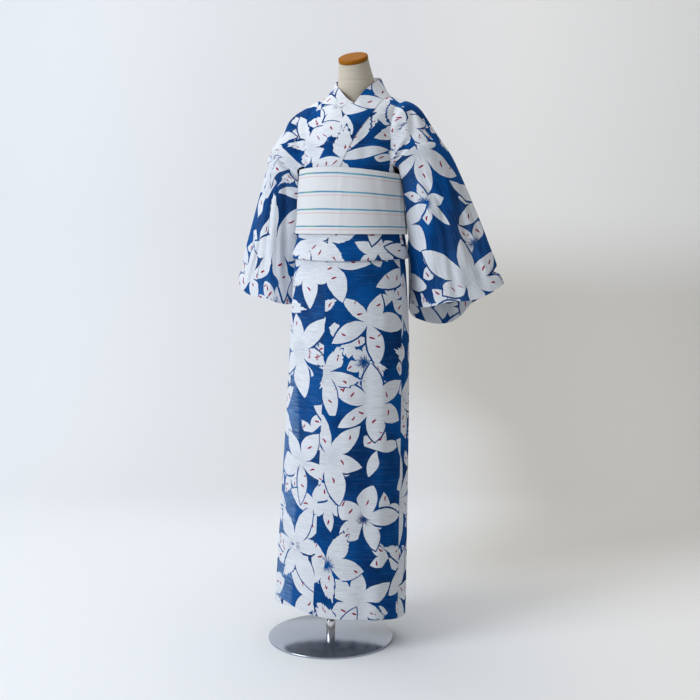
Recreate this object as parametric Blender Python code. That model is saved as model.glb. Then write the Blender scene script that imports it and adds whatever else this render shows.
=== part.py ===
"""Cotton yukata robe worn on a limbless dress form stand.

Metres, +Z up. The front faces -Y and +X is the wearer's left. The middle of the base plate's underside is the
origin. An "own" angle or width is counted from the front middle toward a panel's own side of the body.
"""

import math

import bpy
import numpy as np

for old in list(bpy.data.objects):
    bpy.data.objects.remove(old, do_unlink=True)

# Sizes of the cloth
clothWall = 0.0016
collarWall = 0.0020
obiWall = 0.0020
layerPitch = 0.0026
seamGap = 0.0003

# Heights
hemHeight = 0.090
hemCornerLift = 0.026
underHemLift = 0.012
cordHeight = 1.059
tuckHeight = 0.9750
obiBottom = 1.0300
obiTop = 1.1940
yokeHeight = 1.2010

# Own angles of the seams, in degrees
okumiSeam = -8.0
okumiEdge = -68.0
sideSeam = 78.0
frontArmAngle = 64.0

# The collar band
collarWidth = 0.060
collarSlope = 0.3816
collarEnd = 1.061
collarCentre = 0.003


def table(names, rows):
    return dict(zip(names.split(), np.array(rows, float).T))


# The hollow that the innermost layer of cloth follows
rings = table(
    "height centreX centreY halfWidth halfDepth",
    [
        (0.080, 0.022, 0.008, 0.1680, 0.1210),
        (0.307, 0.027, 0.020, 0.1625, 0.1190),
        (0.565, 0.033, 0.033, 0.1560, 0.1170),
        (0.771, 0.038, 0.042, 0.1505, 0.1155),
        (0.885, 0.040, 0.046, 0.1450, 0.1120),
        (0.975, 0.041, 0.049, 0.1310, 0.1020),
        (1.035, 0.042, 0.051, 0.1195, 0.0915),
        (1.125, 0.043, 0.053, 0.1175, 0.0900),
        (1.201, 0.044, 0.054, 0.1180, 0.0905),
    ],
)

# The limbless torso under it
torso = table(
    "height centreX centreY halfWidth halfDepth tilt",
    [
        (0.680, 0.0375, 0.038, 0.0980, 0.0720, 0),
        (0.687, 0.0375, 0.038, 0.1140, 0.0860, 0),
        (0.705, 0.0380, 0.039, 0.1260, 0.0970, 0),
        (0.775, 0.0390, 0.042, 0.1360, 0.1040, 0),
        (0.845, 0.0395, 0.044, 0.1370, 0.1050, 0),
        (0.915, 0.0405, 0.047, 0.1290, 0.0990, 0),
        (0.975, 0.0410, 0.049, 0.1190, 0.0910, 0),
        (1.035, 0.0420, 0.051, 0.1100, 0.0825, 0),
        (1.115, 0.0430, 0.053, 0.1090, 0.0820, 0),
        (1.195, 0.0440, 0.055, 0.1100, 0.0835, 0),
        (1.245, 0.0440, 0.057, 0.1200, 0.0830, 0),
        (1.283, 0.0440, 0.061, 0.1320, 0.0740, 0),
        (1.309, 0.0440, 0.066, 0.1370, 0.0600, 0),
        (1.325, 0.0440, 0.072, 0.1270, 0.0500, 0),
        (1.338, 0.0440, 0.078, 0.1020, 0.0470, 0),
        (1.350, 0.0440, 0.082, 0.0740, 0.0460, 0),
        (1.367, 0.0440, 0.084, 0.0540, 0.0460, 2),
        (1.387, 0.0440, 0.079, 0.0480, 0.0450, 6),
        (1.413, 0.0440, 0.070, 0.0440, 0.0430, 14),
        (1.437, 0.0440, 0.060, 0.0395, 0.0390, 22),
        (1.456, 0.0440, 0.052, 0.0365, 0.0365, 29),
    ],
)

# The line on which the cloth folds over the shoulder, by own width
ridge = table(
    "width height",
    [
        (0.000, 1.347),
        (0.066, 1.356),
        (0.100, 1.350),
        (0.135, 1.334),
        (0.158, 1.315),
        (0.180, 1.287),
        (0.219, 1.221),
    ],
)

# One shoulder sits a little higher than the other
shoulderLift = {1: 0.007, -1: -0.003}

# Soft ripples that run down the skirt: how many round the body, depth at the hem, and turn in degrees
skirtRipples = [(3, 0.0016, 40), (5, 0.0011, 155), (8, 0.0006, 20)]


def along(columns, key, name, at):
    """Value of a named column at each place along the key column, on a smooth curve through the rows."""
    x, y = columns[key], columns[name]
    at = np.clip(np.asarray(at, float), x[0], x[-1])
    slope = np.gradient(y, x)
    i = np.clip(np.searchsorted(x, at) - 1, 0, len(x) - 2)
    step = x[i + 1] - x[i]
    t = (at - x[i]) / step
    start = (1 + 2 * t) * (1 - t) ** 2 * y[i] + t * (1 - t) ** 2 * step * slope[i]
    return start + t * t * (3 - 2 * t) * y[i + 1] + t * t * (t - 1) * step * slope[i + 1]


def smooth(t):
    t = np.clip(t, 0, 1)
    return t * t * (3 - 2 * t)


def mix(a, b, t):
    return a + (b - a) * t


def unit(v):
    return v / np.linalg.norm(v, axis=-1, keepdims=True)


def material(name, colour, roughness, metallic=0.0):
    made = bpy.data.materials.new(name)
    made.use_nodes = True
    shader = made.node_tree.nodes["Principled BSDF"]
    shader.inputs["Base Color"].default_value = (*colour, 1)
    shader.inputs["Roughness"].default_value = roughness
    shader.inputs["Metallic"].default_value = metallic
    return made


printedCotton = material("printed_cotton", (0.010, 0.075, 0.300), 0.90)
obiCotton = material("obi_cotton", (0.840, 0.840, 0.850), 0.85)
linen = material("form_linen", (0.760, 0.720, 0.640), 0.90)
wood = material("cap_wood", (0.450, 0.200, 0.070), 0.45)
steel = material("base_steel", (0.500, 0.500, 0.510), 0.30, 1.0)
chrome = material("pole_chrome", (0.700, 0.700, 0.710), 0.12, 1.0)


def node(name, points, faces, made, sharp=35):
    """A mesh object, turned to face outward."""
    points = np.asarray(points, float)
    triangles = np.array([(f[0], f[k], f[k + 1]) for f in faces for k in range(1, len(f) - 1)])
    a, b, c = (points[triangles[:, k]] for k in range(3))
    if np.einsum("ij,ij->i", a, np.cross(b, c)).sum() < 0:
        faces = [f[::-1] for f in faces]
    mesh = bpy.data.meshes.new(name)
    mesh.from_pydata([tuple(p) for p in points], [], [tuple(int(k) for k in f) for f in faces])
    mesh.materials.append(made)
    mesh.shade_smooth()
    mesh.set_sharp_from_angle(angle=math.radians(sharp))
    obj = bpy.data.objects.new(name, mesh)
    bpy.context.collection.objects.link(obj)
    return obj


def sheet(name, outer, inner, made, tube=False):
    """A wall between two grids of rows and columns. A tube's columns close on themselves."""
    rows, columns = outer.shape[:2]
    count = rows * columns
    points = np.concatenate([outer.reshape(-1, 3), inner.reshape(-1, 3)])
    faces = []

    def at(row, column, side):
        return side * count + row * columns + column % columns

    last = columns if tube else columns - 1
    for r in range(rows - 1):
        for c in range(last):
            corners = [at(r, c, 0), at(r, c + 1, 0), at(r + 1, c + 1, 0), at(r + 1, c, 0)]
            below = [k + count for k in corners]
            faces += [(corners[0], corners[1], corners[2]), (corners[0], corners[2], corners[3])]
            faces += [(below[0], below[2], below[1]), (below[0], below[3], below[2])]
    for r, turned in ((0, False), (rows - 1, True)):
        for c in range(last):
            strip = [at(r, c, 0), at(r, c, 1), at(r, c + 1, 1), at(r, c + 1, 0)]
            faces.append(strip[::-1] if turned else strip)
    if not tube:
        for c, turned in ((0, True), (columns - 1, False)):
            for r in range(rows - 1):
                strip = [at(r, c, 0), at(r, c, 1), at(r + 1, c, 1), at(r + 1, c, 0)]
                faces.append(strip[::-1] if turned else strip)
    return node(name, points, faces, made)


def gridNormals(grid, tube=False):
    """Directions square to a grid, to the side that its columns and then its rows turn to."""
    along_rows = np.gradient(grid, axis=0)
    if tube:
        across = (np.roll(grid, -1, axis=1) - np.roll(grid, 1, axis=1)) / 2
    else:
        across = np.gradient(grid, axis=1)
    return unit(np.cross(across, along_rows))


def turned(name, rings_of, made, sharp=35):
    """A closed solid through rings of points from the bottom to the top."""
    rings_of = np.asarray(rings_of)
    rows, columns = rings_of.shape[:2]
    points = rings_of.reshape(-1, 3)
    faces = []
    for r in range(rows - 1):
        for c in range(columns):
            d = (c + 1) % columns
            faces.append((r * columns + c, r * columns + d, (r + 1) * columns + d, (r + 1) * columns + c))
    faces.append(tuple(range(columns))[::-1])
    faces.append(tuple((rows - 1) * columns + c for c in range(columns)))
    return node(name, points, faces, made, sharp)


def roundRings(profile, sides, centre=(0.0, 0.0)):
    """Circles from a short list of (radius, height)."""
    angles = np.arange(sides) * 2 * math.pi / sides
    return [
        np.stack([centre[0] + r * np.sin(angles), centre[1] - r * np.cos(angles), np.full(sides, z)], axis=-1)
        for r, z in profile
    ]


# ---- The body that the cloth goes round


def bodyPoint(side, angle, height):
    """A point of the hollow below the yoke, at an own angle in degrees."""
    turn = np.radians(angle)
    ripple = 0.0
    for count, depth, start in skirtRipples:
        ripple = ripple + depth * np.sin(count * side * turn + math.radians(start))
    ripple = ripple * smooth((0.875 - height) / 0.60)
    wide = along(rings, "height", "halfWidth", height) + ripple
    deep = along(rings, "height", "halfDepth", height) + ripple
    x = along(rings, "height", "centreX", height) + side * wide * np.sin(turn)
    y = along(rings, "height", "centreY", height) - deep * np.cos(turn)
    return np.stack(np.broadcast_arrays(x, y, height), axis=-1)


def bodyNormal(side, angle, height):
    step = 1e-3
    across = bodyPoint(side, angle + 0.2, height) - bodyPoint(side, angle - 0.2, height)
    upward = bodyPoint(side, angle, height + step) - bodyPoint(side, angle, height - step)
    return side * unit(np.cross(across, upward))


def onBody(side, angle, height, out):
    """A point at this distance outside the hollow."""
    angle, height, out = np.broadcast_arrays(angle, height, out)
    return bodyPoint(side, angle, height) + bodyNormal(side, angle, height) * out[..., None]


yokeWide = float(along(rings, "height", "halfWidth", yokeHeight))
yokeDeep = float(along(rings, "height", "halfDepth", yokeHeight))
yokeX = float(along(rings, "height", "centreX", yokeHeight))
yokeY = float(along(rings, "height", "centreY", yokeHeight))
armWidth = yokeWide * math.sin(math.radians(frontArmAngle))
armDepth = yokeDeep * math.cos(math.radians(frontArmAngle))
neckWidth = 0.066
tipWidth = 0.219
neckBackHeight = 1.370
neckBackDepth = 0.097
neckTurn = 56.25


def ridgeDepth(width):
    """How far back of the body's middle the shoulder fold lies."""
    inside = -0.005 + 0.039 * (np.minimum(width, neckWidth) / neckWidth) ** 2
    return inside - 0.006 * smooth((width - neckWidth) / 0.060)


def yokeProfile(width):
    """Depth of the cloth at the yoke line, by own width."""
    round_part = yokeDeep * np.sqrt(np.maximum(1 - (np.minimum(np.abs(width), armWidth) / yokeWide) ** 2, 0))
    return round_part - 0.10 * np.maximum(np.abs(width) - armWidth, 0)


def yokePoint(side, face, width, rise):
    """A point above the yoke line: rise goes from 0 degrees there to 90 at the shoulder fold."""
    turn = np.radians(rise)
    size = np.abs(width)
    top = along(ridge, "width", "height", size) + shoulderLift[side] * smooth((size - neckWidth) / 0.070)
    height = yokeHeight + (top - yokeHeight) * np.sin(turn)
    top = ridgeDepth(size)
    if face == "front":
        y = top - (top + yokeProfile(size)) * np.cos(turn) - 0.004 * np.sin(2 * turn)
    else:
        y = top + (yokeProfile(size) - top) * np.cos(turn) + 0.018 * np.sin(2 * turn)
    return np.stack(np.broadcast_arrays(yokeX + side * width, yokeY + y, height), axis=-1)


def yokeEdges(face, rise):
    """Own widths of the inner and outer edge of a body panel above the yoke line."""
    lift = np.sin(np.radians(rise))
    outer = armWidth + (tipWidth - armWidth) * lift**0.6
    if face == "front":
        inner = collarCentre + (neckWidth - collarCentre) * lift**1.2
    else:
        inner = neckWidth * np.sin(np.pi / 2 * np.clip((rise - neckTurn) / (90 - neckTurn), 0, 1))
        inner = np.maximum(inner, seamGap / 2)
    return inner, outer


def neckline(side, rise):
    """The back panel's inner edge: up the centre seam and then round the neck."""
    up = np.clip(rise / neckTurn, 0, 1)
    over = np.clip((rise - neckTurn) / (90 - neckTurn), 0, 1) * np.pi / 2
    height = yokeHeight + (neckBackHeight - yokeHeight) * up**0.9
    height = height - (neckBackHeight - 1.356) * np.sin(over)
    topDepth = float(ridgeDepth(neckWidth))
    depth = yokeDeep + (neckBackDepth - yokeDeep) * up
    depth = topDepth + (depth - topDepth) * np.cos(over)
    inner = yokeEdges("back", rise)[0]
    return np.stack(np.broadcast_arrays(yokeX + side * inner, yokeY + depth, height), axis=-1)


def panelPoint(side, face, across, rise):
    """A point of a body panel above the yoke line; across goes from 0 at the inner edge to 1 at the armhole."""
    inner, outer = yokeEdges(face, rise)
    point = yokePoint(side, face, mix(inner, outer, across), rise)
    if face == "back":
        shift = neckline(side, rise) - yokePoint(side, face, inner, rise)
        point = point + shift * ((1 - across) ** 2)[..., None]
    return point


def panelNormal(side, face, across, rise):
    step = 0.01
    near, far = np.clip(across - step, 0, 1), np.clip(across + step, 0, 1)
    over = panelPoint(side, face, far, rise) - panelPoint(side, face, near, rise)
    low, high = np.clip(rise - 1, 0, 90), np.clip(rise + 1, 0, 90)
    up = panelPoint(side, face, across, high) - panelPoint(side, face, across, low)
    facing = 1 if face == "front" else -1
    normal = unit(np.cross(over, up)) * side * facing
    flat = np.array([0.0, 1.0, 0.0])
    ridgeNormal = unit(np.cross(flat, over)) * side
    ridgeNormal = ridgeNormal * np.sign(ridgeNormal[..., 2:])
    near_top = smooth((rise - 78) / 12)[..., None]
    normal = unit(mix(normal, ridgeNormal, near_top))
    if face == "back":
        on_seam = (across <= 0) & (rise <= neckTurn)
        normal[..., 0] = np.where(on_seam, 0.0, normal[..., 0])
    return unit(normal)


# ---- How the layers lie on each other


def layerOf(side, angle):
    """0 where the right side lies under, 1 where the left side lies over, and between them round the back."""
    back = 0.5 * smooth((angle - sideSeam) / (180 - sideSeam))
    return 1 - back if side > 0 else back


def stripPath(side, face, angle, hem):
    """Heights, distances out and wall directions of one column, from the hem up to the yoke line.

    The cloth goes up to the cord, folds out and down to the tuck, and goes up again outside it.
    """
    w = layerOf(side, angle)
    path = []
    for t in np.linspace(0, 1, 9):
        path.append((mix(hem, cordHeight, t**1.1), w * layerPitch, 1.0, 0.0))
    middle, radius = 1.5 * layerPitch, (3 - 2 * w) * layerPitch / 2
    for a in np.radians([45, 90, 135]):
        path.append((cordHeight + radius * math.sin(a), middle - radius * math.cos(a), math.cos(a), -math.sin(a)))
    for height in (cordHeight, tuckHeight):
        path.append((height, (3 - w) * layerPitch, -1.0, 0.0))
    middle, radius = 3.5 * layerPitch, (1 + 2 * w) * layerPitch / 2
    for a in np.radians([60, 120]):
        path.append((tuckHeight - radius * math.sin(a), middle - radius * math.cos(a), -math.cos(a), -math.sin(a)))
    for height in (tuckHeight, 1.010, 1.049, 1.065, 1.100, 1.145, yokeHeight):
        path.append((height, (4 + w) * layerPitch, 1.0, 0.0))
    return np.array(path)


def walls(side, angles, path, wall=clothWall):
    """Outer and inner points of one row for each place of a path. Rows first, then columns."""
    height, out, facing, tip = (path[..., k] for k in range(4))
    sides = []
    for offset in (wall / 2, -wall / 2):
        sides.append(onBody(side, angles, height + tip * offset, out + facing * offset))
    return sides


def hemOf(side, angle):
    """The over corner is drawn up a little, and the under side hangs a little higher."""
    corner = smooth((okumiSeam + 20 - angle) / (okumiSeam + 20 - okumiEdge))
    return hemHeight + hemCornerLift * corner + (underHemLift * smooth((sideSeam - angle) / 60) if side < 0 else 0)


def innerAngle(height, upper):
    """Own angle of the front panel's inner edge: the okumi seam, then the collar seam."""
    if not upper:
        return okumiSeam
    wide = along(rings, "height", "halfWidth", yokeHeight) + 4.5 * layerPitch
    seam = collarCentre - (yokeHeight - height) * collarSlope
    return okumiSeam if height < collarEnd else max(okumiSeam - 2, math.degrees(math.asin(seam / wide)))


def bodyPanel(side):
    """Front and back of one side, cut in one over the shoulder."""
    columns = 9
    across = np.linspace(0, 1, columns)
    halves = {}
    gap = math.degrees(seamGap / 2 / 0.14)
    for face in ("front", "back"):
        lower = []
        sample = stripPath(side, face, 0.0, hemHeight)
        for row in range(len(sample)):
            angles, places = [], []
            for v in across:
                upper = row >= 16
                height = sample[row, 0]
                open_side = smooth((height - 1.105) / 0.09) if upper else 0.0
                if face == "front":
                    start = innerAngle(height, upper) + gap
                    end = mix(sideSeam, frontArmAngle, open_side) - gap
                else:
                    start = 180 - gap
                    end = mix(sideSeam, 180 - frontArmAngle, open_side) + gap
                angle = mix(start, end, v)
                angles.append(angle)
                places.append(stripPath(side, face, angle, hemOf(side, angle))[row])
            lower.append(walls(side, np.array(angles), np.array(places)))
        rise = np.arange(1, 9) * 11.25
        v, r = np.meshgrid(across, rise)
        point, normal = panelPoint(side, face, v, r), panelNormal(side, face, v, r)
        start = 180 if face == "back" else 0
        angle = mix(start, 90, v)
        w = mix(layerOf(side, angle), 0.5, smooth((r - 25) / 50))
        out = ((4 + w) * layerPitch)[..., None]
        upperOuter = point + normal * (out + clothWall / 2)
        upperInner = point + normal * (out - clothWall / 2)
        outer = np.concatenate([np.array([pair[0] for pair in lower]), upperOuter])
        inner = np.concatenate([np.array([pair[1] for pair in lower]), upperInner])
        halves[face] = (outer, inner)
    middle = [(halves["front"][k][-1] + halves["back"][k][-1]) / 2 for k in range(2)]
    grids = [
        np.concatenate([halves["front"][k][:-1], middle[k][None], halves["back"][k][:-1][::-1]]) for k in range(2)
    ]
    return sheet("body_left" if side > 0 else "body_right", grids[0], grids[1], printedCotton), halves


def okumiPanel(side):
    """The overlap panel from the hem to its point under the belt."""
    across = np.linspace(0, 1, 7)
    gap = math.degrees(seamGap / 2 / 0.14)
    sample = stripPath(side, "front", 0.0, hemHeight)
    rows = []
    for row in range(19):
        angles = mix(okumiSeam - gap, okumiEdge, across)
        places = [stripPath(side, "front", a, hemOf(side, a))[row] for a in angles]
        places = np.array(places)
        if row == 18:
            places[:, 0] -= 0.0022
        rows.append(walls(side, angles, places))
    outer = np.array([pair[0] for pair in rows])
    inner = np.array([pair[1] for pair in rows])
    return sheet("okumi_left" if side > 0 else "okumi_right", outer, inner, printedCotton)


halvesOf = {}
for side in (1, -1):
    made, halvesOf[side] = bodyPanel(side)
    okumiPanel(side)

# ---- The collar, one band from the left end over the neck to the right end

# Free edge of one half round the neck, from the crossing to the middle of the back
collarTop = table(
    "rise width depth height",
    [
        (56.25, 0.024, -0.032, 1.359),
        (67.50, 0.041, -0.020, 1.379),
        (78.75, 0.051, 0.000, 1.396),
        (90.00, 0.055, 0.026, 1.408),
        (101.25, 0.052, 0.056, 1.416),
        (112.50, 0.036, 0.084, 1.423),
        (123.75, 0.000, 0.100, 1.428),
    ],
)
crossingHeight = 1.338
collarColumns = 5
crossingRow = 4


def panelEdge(side, face, rows, column, beside):
    """Middles of a panel's edge, the directions square to its wall, and the directions off its edge."""
    outer, inner = halvesOf[side][face]
    middle = (outer + inner) / 2
    edge = middle[rows, column]
    return edge, unit(outer[rows, column] - inner[rows, column]), unit(edge - middle[rows, beside])


def frontSurface(side, width, height, out):
    """A point outside the front of the yoke, from its own width and its height."""
    top = along(ridge, "width", "height", np.abs(width))
    rise = np.degrees(np.arcsin(np.clip((height - yokeHeight) / (top - yokeHeight), 0, 0.999)))
    step = 1e-3
    point = yokePoint(side, "front", width, rise)
    over = yokePoint(side, "front", width + step, rise) - yokePoint(side, "front", width - step, rise)
    up = yokePoint(side, "front", width, rise + 1) - yokePoint(side, "front", width, rise - 1)
    return point + unit(np.cross(over, up)) * side * out


def collarHalf(side):
    """Middle points of one half, row by row from its hidden end to the middle of the back."""
    w = 1 if side > 0 else 0
    out = (4 + w) * layerPitch
    ease = 0.0004 if side > 0 else -0.0010
    across = np.linspace(0, 1, collarColumns)
    rows = []
    for height in (1.085, 1.100, 1.145):
        wide = float(along(rings, "height", "halfWidth", height)) + out
        seam = collarCentre - (yokeHeight - height) * collarSlope - 0.0005
        angles = np.degrees(np.arcsin((seam - across * (collarWidth + 0.001)) / wide))
        rows.append(onBody(side, angles, height, out + ease * smooth(across * 3)))
    first = 22
    edge, square, off = panelEdge(side, "front", np.arange(first, first + 9), 0, 1)
    for k in range(crossingRow + 1):
        start = edge[k] + off[k] * 0.0007
        t = k / crossingRow
        startWidth = side * (start[0] - yokeX)
        seamHeight = start[2] - square[k][2] * out
        freeHeight = mix(yokeHeight, crossingHeight, (seamHeight - yokeHeight) / (edge[crossingRow][2] - square[crossingRow][2] * out - yokeHeight))
        freeWidth = mix(collarCentre - collarWidth - 0.001, 0.0, (freeHeight - yokeHeight) / (crossingHeight - yokeHeight))
        widths = mix(startWidth, freeWidth, across)
        heights = mix(seamHeight, freeHeight, across)
        outs = out + ease * smooth(across * 3)
        row = np.array([frontSurface(side, a, b, c) for a, b, c in zip(widths, heights, outs)])
        row = row + (start - row[0]) * ((1 - across) ** 2)[:, None]
        rows.append(row)
    backEdge, backSquare, backOff = panelEdge(side, "back", np.arange(first + 8, first + 4, -1), 0, 1)
    points = np.concatenate([edge[crossingRow + 1 :], backEdge[1:4]])
    squares = np.concatenate([square[crossingRow + 1 :], backSquare[1:4]])
    runs = np.gradient(points, axis=0)
    runs[-1] = [-side, 0, 0]
    for k, (point, normal) in enumerate(zip(points, squares)):
        get = lambda name: collarTop[name][k]
        free = np.array([yokeX + side * get("width"), yokeY + get("depth"), get("height")])
        inward = unit(np.cross(runs[k], normal))
        inward = inward * np.sign(inward @ (free - point))
        band = unit(free - point)
        lean = abs(float(band @ normal))
        start = point + inward * (0.0008 + 0.0023 * lean) + normal * 0.0010 * lean
        if k == len(points) - 1:
            start[0] = yokeX
        row = mix(start[None], free[None], across[:, None])
        rows.append(row)
    return np.array(rows)


left, right = collarHalf(1), collarHalf(-1)
middle = (left[-1] + right[-1]) / 2
band = np.concatenate([left[:-1], middle[None], right[:-1][::-1]])
normals = gridNormals(band)
centre = np.array([yokeX, yokeY + 0.02, 1.275])
normals = normals * np.sign(np.einsum("ijk,ijk->ij", normals, band - centre).sum())
for side, rows in ((1, slice(3, 4 + crossingRow)), (-1, slice(-4 - crossingRow, -3))):
    square = panelEdge(side, "front", np.arange(22, 22 + crossingRow + 1), 0, 1)[1]
    normals[rows, 0] = square if side > 0 else square[::-1]
sheet("collar", band + normals * collarWall / 2, band - normals * collarWall / 2, printedCotton)

# ---- The sleeves, open bags that hang from the armholes

frontRim = table(
    "width depth height",
    [
        (0.156, 0.036, 0.858),
        (0.180, 0.006, 0.852),
        (0.205, -0.008, 0.855),
        (0.240, -0.014, 0.867),
        (0.290, -0.006, 0.871),
        (0.335, 0.024, 0.888),
        (0.362, 0.056, 0.911),
    ],
)
backRim = table(
    "width depth height",
    [
        (0.156, 0.088, 0.816),
        (0.180, 0.102, 0.806),
        (0.205, 0.110, 0.804),
        (0.225, 0.112, 0.811),
        (0.242, 0.112, 0.826),
        (0.262, 0.110, 0.851),
        (0.300, 0.102, 0.876),
        (0.335, 0.086, 0.894),
        (0.362, 0.056, 0.911),
    ],
)
# The bag's free edge under the arm: own width, depth and height where it hangs, and where it ends
underArm = table(
    "width depth height rimWidth rimDepth rimHeight",
    [
        (0.145, -0.032, 1.203, 0.150, 0.046, 0.857),
        (0.149, -0.006, 1.188, 0.146, 0.056, 0.852),
        (0.146, 0.030, 1.165, 0.144, 0.066, 0.845),
        (0.135, 0.053, 1.182, 0.145, 0.075, 0.835),
        (0.127, 0.058, 1.203, 0.149, 0.083, 0.825),
    ],
)
# Long soft folds down each bag: place along the layer, depth at the rim, breadth
bagFolds = [("front", 0.30, 0.007, 0.16), ("front", 0.66, -0.006, 0.14), ("back", 0.45, 0.008, 0.18)]
rightBackLift = 0.052
# How early each column of the bag moves along X, Y and Z: beside the body, and at the outer fold
bagPowers = [(0.20, 0.92), (1.00, 0.92), (1.80, 1.06)]
# How wide each bag hangs
bagReach = {1: 1.01, -1: 0.965}


def sleeve(side):
    rows = 10
    seamRows = np.arange(22, 31)
    parts = []
    for face in ("front", "back"):
        edge, square, off = panelEdge(side, face, seamRows, -1, -2)
        t = np.linspace(0, 1, 9)
        rim = frontRim if face == "front" else backRim
        width = mix(rim["width"][0], rim["width"][-1], t**0.9)
        depth, height = along(rim, "width", "depth", width), along(rim, "width", "height", width)
        if face == "back" and side < 0:
            height = height + rightBackLift * smooth((0.92 - height) / 0.10)
        foot = np.stack([yokeX + side * bagReach[side] * width, yokeY + depth, height], axis=-1)
        top = edge + off * 0.0011
        parts.append((top, foot, square, t))
    under = np.stack([yokeX + side * underArm["width"], yokeY + underArm["depth"], underArm["height"]], axis=-1)
    underFoot = np.stack([yokeX + side * underArm["rimWidth"], yokeY + underArm["rimDepth"], underArm["rimHeight"]], axis=-1)
    if side < 0:
        underFoot[:, 2] += rightBackLift * smooth((underArm["depth"] + 0.05) / 0.10) * 0.6
    front, back = parts
    top = np.concatenate([front[0], back[0][:-1][::-1], under[::-1]])
    foot = np.concatenate([front[1], back[1][:-1][::-1], underFoot[::-1]])
    straight = np.concatenate([front[3], back[3][:-1][::-1], np.zeros(len(under))])
    grid = []
    for s in np.linspace(0, 1, rows):
        powers = np.stack([mix(a, b, smooth(straight * 1.6)) for a, b in bagPowers], axis=-1)
        row = mix(top, foot, s**powers)
        for face, place, deep, breadth in bagFolds:
            reach = np.exp(-(((front[3] - place) / breadth) ** 2))
            reach[-1] = 0
            push = np.zeros(len(row))
            if face == "front":
                push[:9] = -reach * deep
            else:
                push[9:17] = (reach * deep)[:-1][::-1]
            row[:, 1] += push * smooth(s * 1.1)
        grid.append(row)
    grid = np.array(grid)
    normals = gridNormals(grid, tube=True)
    inside = grid.mean(axis=1, keepdims=True)
    normals = normals * np.sign(np.einsum("ijk,ijk->ij", normals, grid - inside).sum())
    square = np.concatenate([front[2], back[2][:-1][::-1]])
    normals[0, :17] = square
    name = "sleeve_left" if side > 0 else "sleeve_right"
    return sheet(name, grid + normals * clothWall / 2, grid - normals * clothWall / 2, printedCotton, tube=True)


sleeve(1)
sleeve(-1)

# ---- The belt, wound twice round, with a plain knot behind

obiInside = 5 * layerPitch + collarWall / 2 + 0.0010
obiPitch = 0.0028
obiTurns = 2.0
obiStart = 170.0


def obiHeight(angle, t):
    """Height on the belt; its upper edge dips to the wearer's left."""
    turn = np.radians(angle)
    top = obiTop - 0.010 * np.sin(turn) ** 2 - 0.006 * np.sin(turn)
    return mix(obiBottom, top, t)


obiAngles = obiStart - np.linspace(0, 360 * obiTurns, int(40 * obiTurns) + 1)
levels = np.linspace(0, 1, 4)
a, t = np.meshgrid(obiAngles, levels)
out = obiInside + obiWall / 2 + obiPitch * (obiStart - a) / 360
swell = 0.0012 * np.sin(math.pi * t)
outer = onBody(1, a, obiHeight(a, t), out + obiWall / 2)
inner = onBody(1, a, obiHeight(a, t), out - obiWall / 2)
sheet("obi", outer, inner, obiCotton)


def bandRings(rows, wall, name, made):
    """A flattened tube through ovals: each row is a middle, half height and half depth across X."""
    turn = np.arange(24) * 2 * math.pi / 24
    grids = []
    for grow in (0, -wall):
        grids.append(
            np.array(
                [
                    np.stack(
                        [
                            np.full(24, x),
                            y + (deep + grow) * np.sin(turn),
                            z + (high + grow) * np.sign(np.cos(turn)) * np.abs(np.cos(turn)) ** 0.8,
                        ],
                        axis=-1,
                    )
                    for x, y, z, high, deep in rows
                ]
            )
        )
    return sheet(name, grids[0], grids[1], made, tube=True)


knotX = float(along(rings, "height", "centreX", 1.115))
knotY = float(along(rings, "height", "centreY", 1.115) + along(rings, "height", "halfDepth", 1.115))
knotY += obiInside + obiWall + 2 * obiPitch + 0.0158
knotZ = 1.118
bow = [
    (-0.118, 0.016, 0.050, 0.0130),
    (-0.085, 0.014, 0.052, 0.0150),
    (-0.050, 0.008, 0.042, 0.0140),
    (-0.024, 0.001, 0.028, 0.0095),
    (0.0, 0.0, 0.025, 0.0090),
    (0.024, 0.001, 0.028, 0.0095),
    (0.050, 0.008, 0.042, 0.0140),
    (0.085, 0.014, 0.052, 0.0150),
    (0.118, 0.016, 0.050, 0.0130),
]
bandRings([(knotX + x, knotY + y, knotZ + 0.004, high, deep) for x, y, high, deep in bow], obiWall, "obi_bow", obiCotton)
knot = [(-0.022, 0.0, 0.0335, 0.0150), (0.0, 0.0, 0.0345, 0.0153), (0.022, 0.0, 0.0335, 0.0150)]
bandRings([(knotX + x, knotY + y, knotZ + 0.004, high, deep) for x, y, high, deep in knot], obiWall, "obi_knot", obiCotton)

# ---- The stand

plateRadius, plateThick = 0.160, 0.005
turned(
    "base_plate",
    roundRings([(plateRadius - 0.001, 0), (plateRadius, 0.001), (plateRadius, plateThick - 0.001), (plateRadius - 0.001, plateThick)], 64),
    steel,
)
turned(
    "pole_socket",
    roundRings([(0.0120, 0.0053), (0.0120, 0.0430), (0.0105, 0.0450)], 32),
    chrome,
)
turned("pole", roundRings([(0.0085, 0.0453), (0.0085, 0.6797)], 24), chrome)


def tiltedRing(columns, height, sides, shrink=0.0):
    turn = np.arange(sides) * 2 * math.pi / sides
    get = lambda name: float(along(columns, "height", name, height))
    y = -(get("halfDepth") - shrink) * np.cos(turn)
    lean = math.radians(get("tilt"))
    return np.stack(
        [
            get("centreX") + (get("halfWidth") - shrink) * np.sin(turn),
            get("centreY") + y * math.cos(lean),
            height + y * math.sin(lean),
        ],
        axis=-1,
    )


heights = np.concatenate([torso["height"][:-1], (torso["height"][2:-1] + torso["height"][3:]) / 2, torso["height"][-1:]])
turned("form_torso", [tiltedRing(torso, h, 32) for h in np.sort(heights)], linen)

# ---- The wooden cap on the neck

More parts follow.
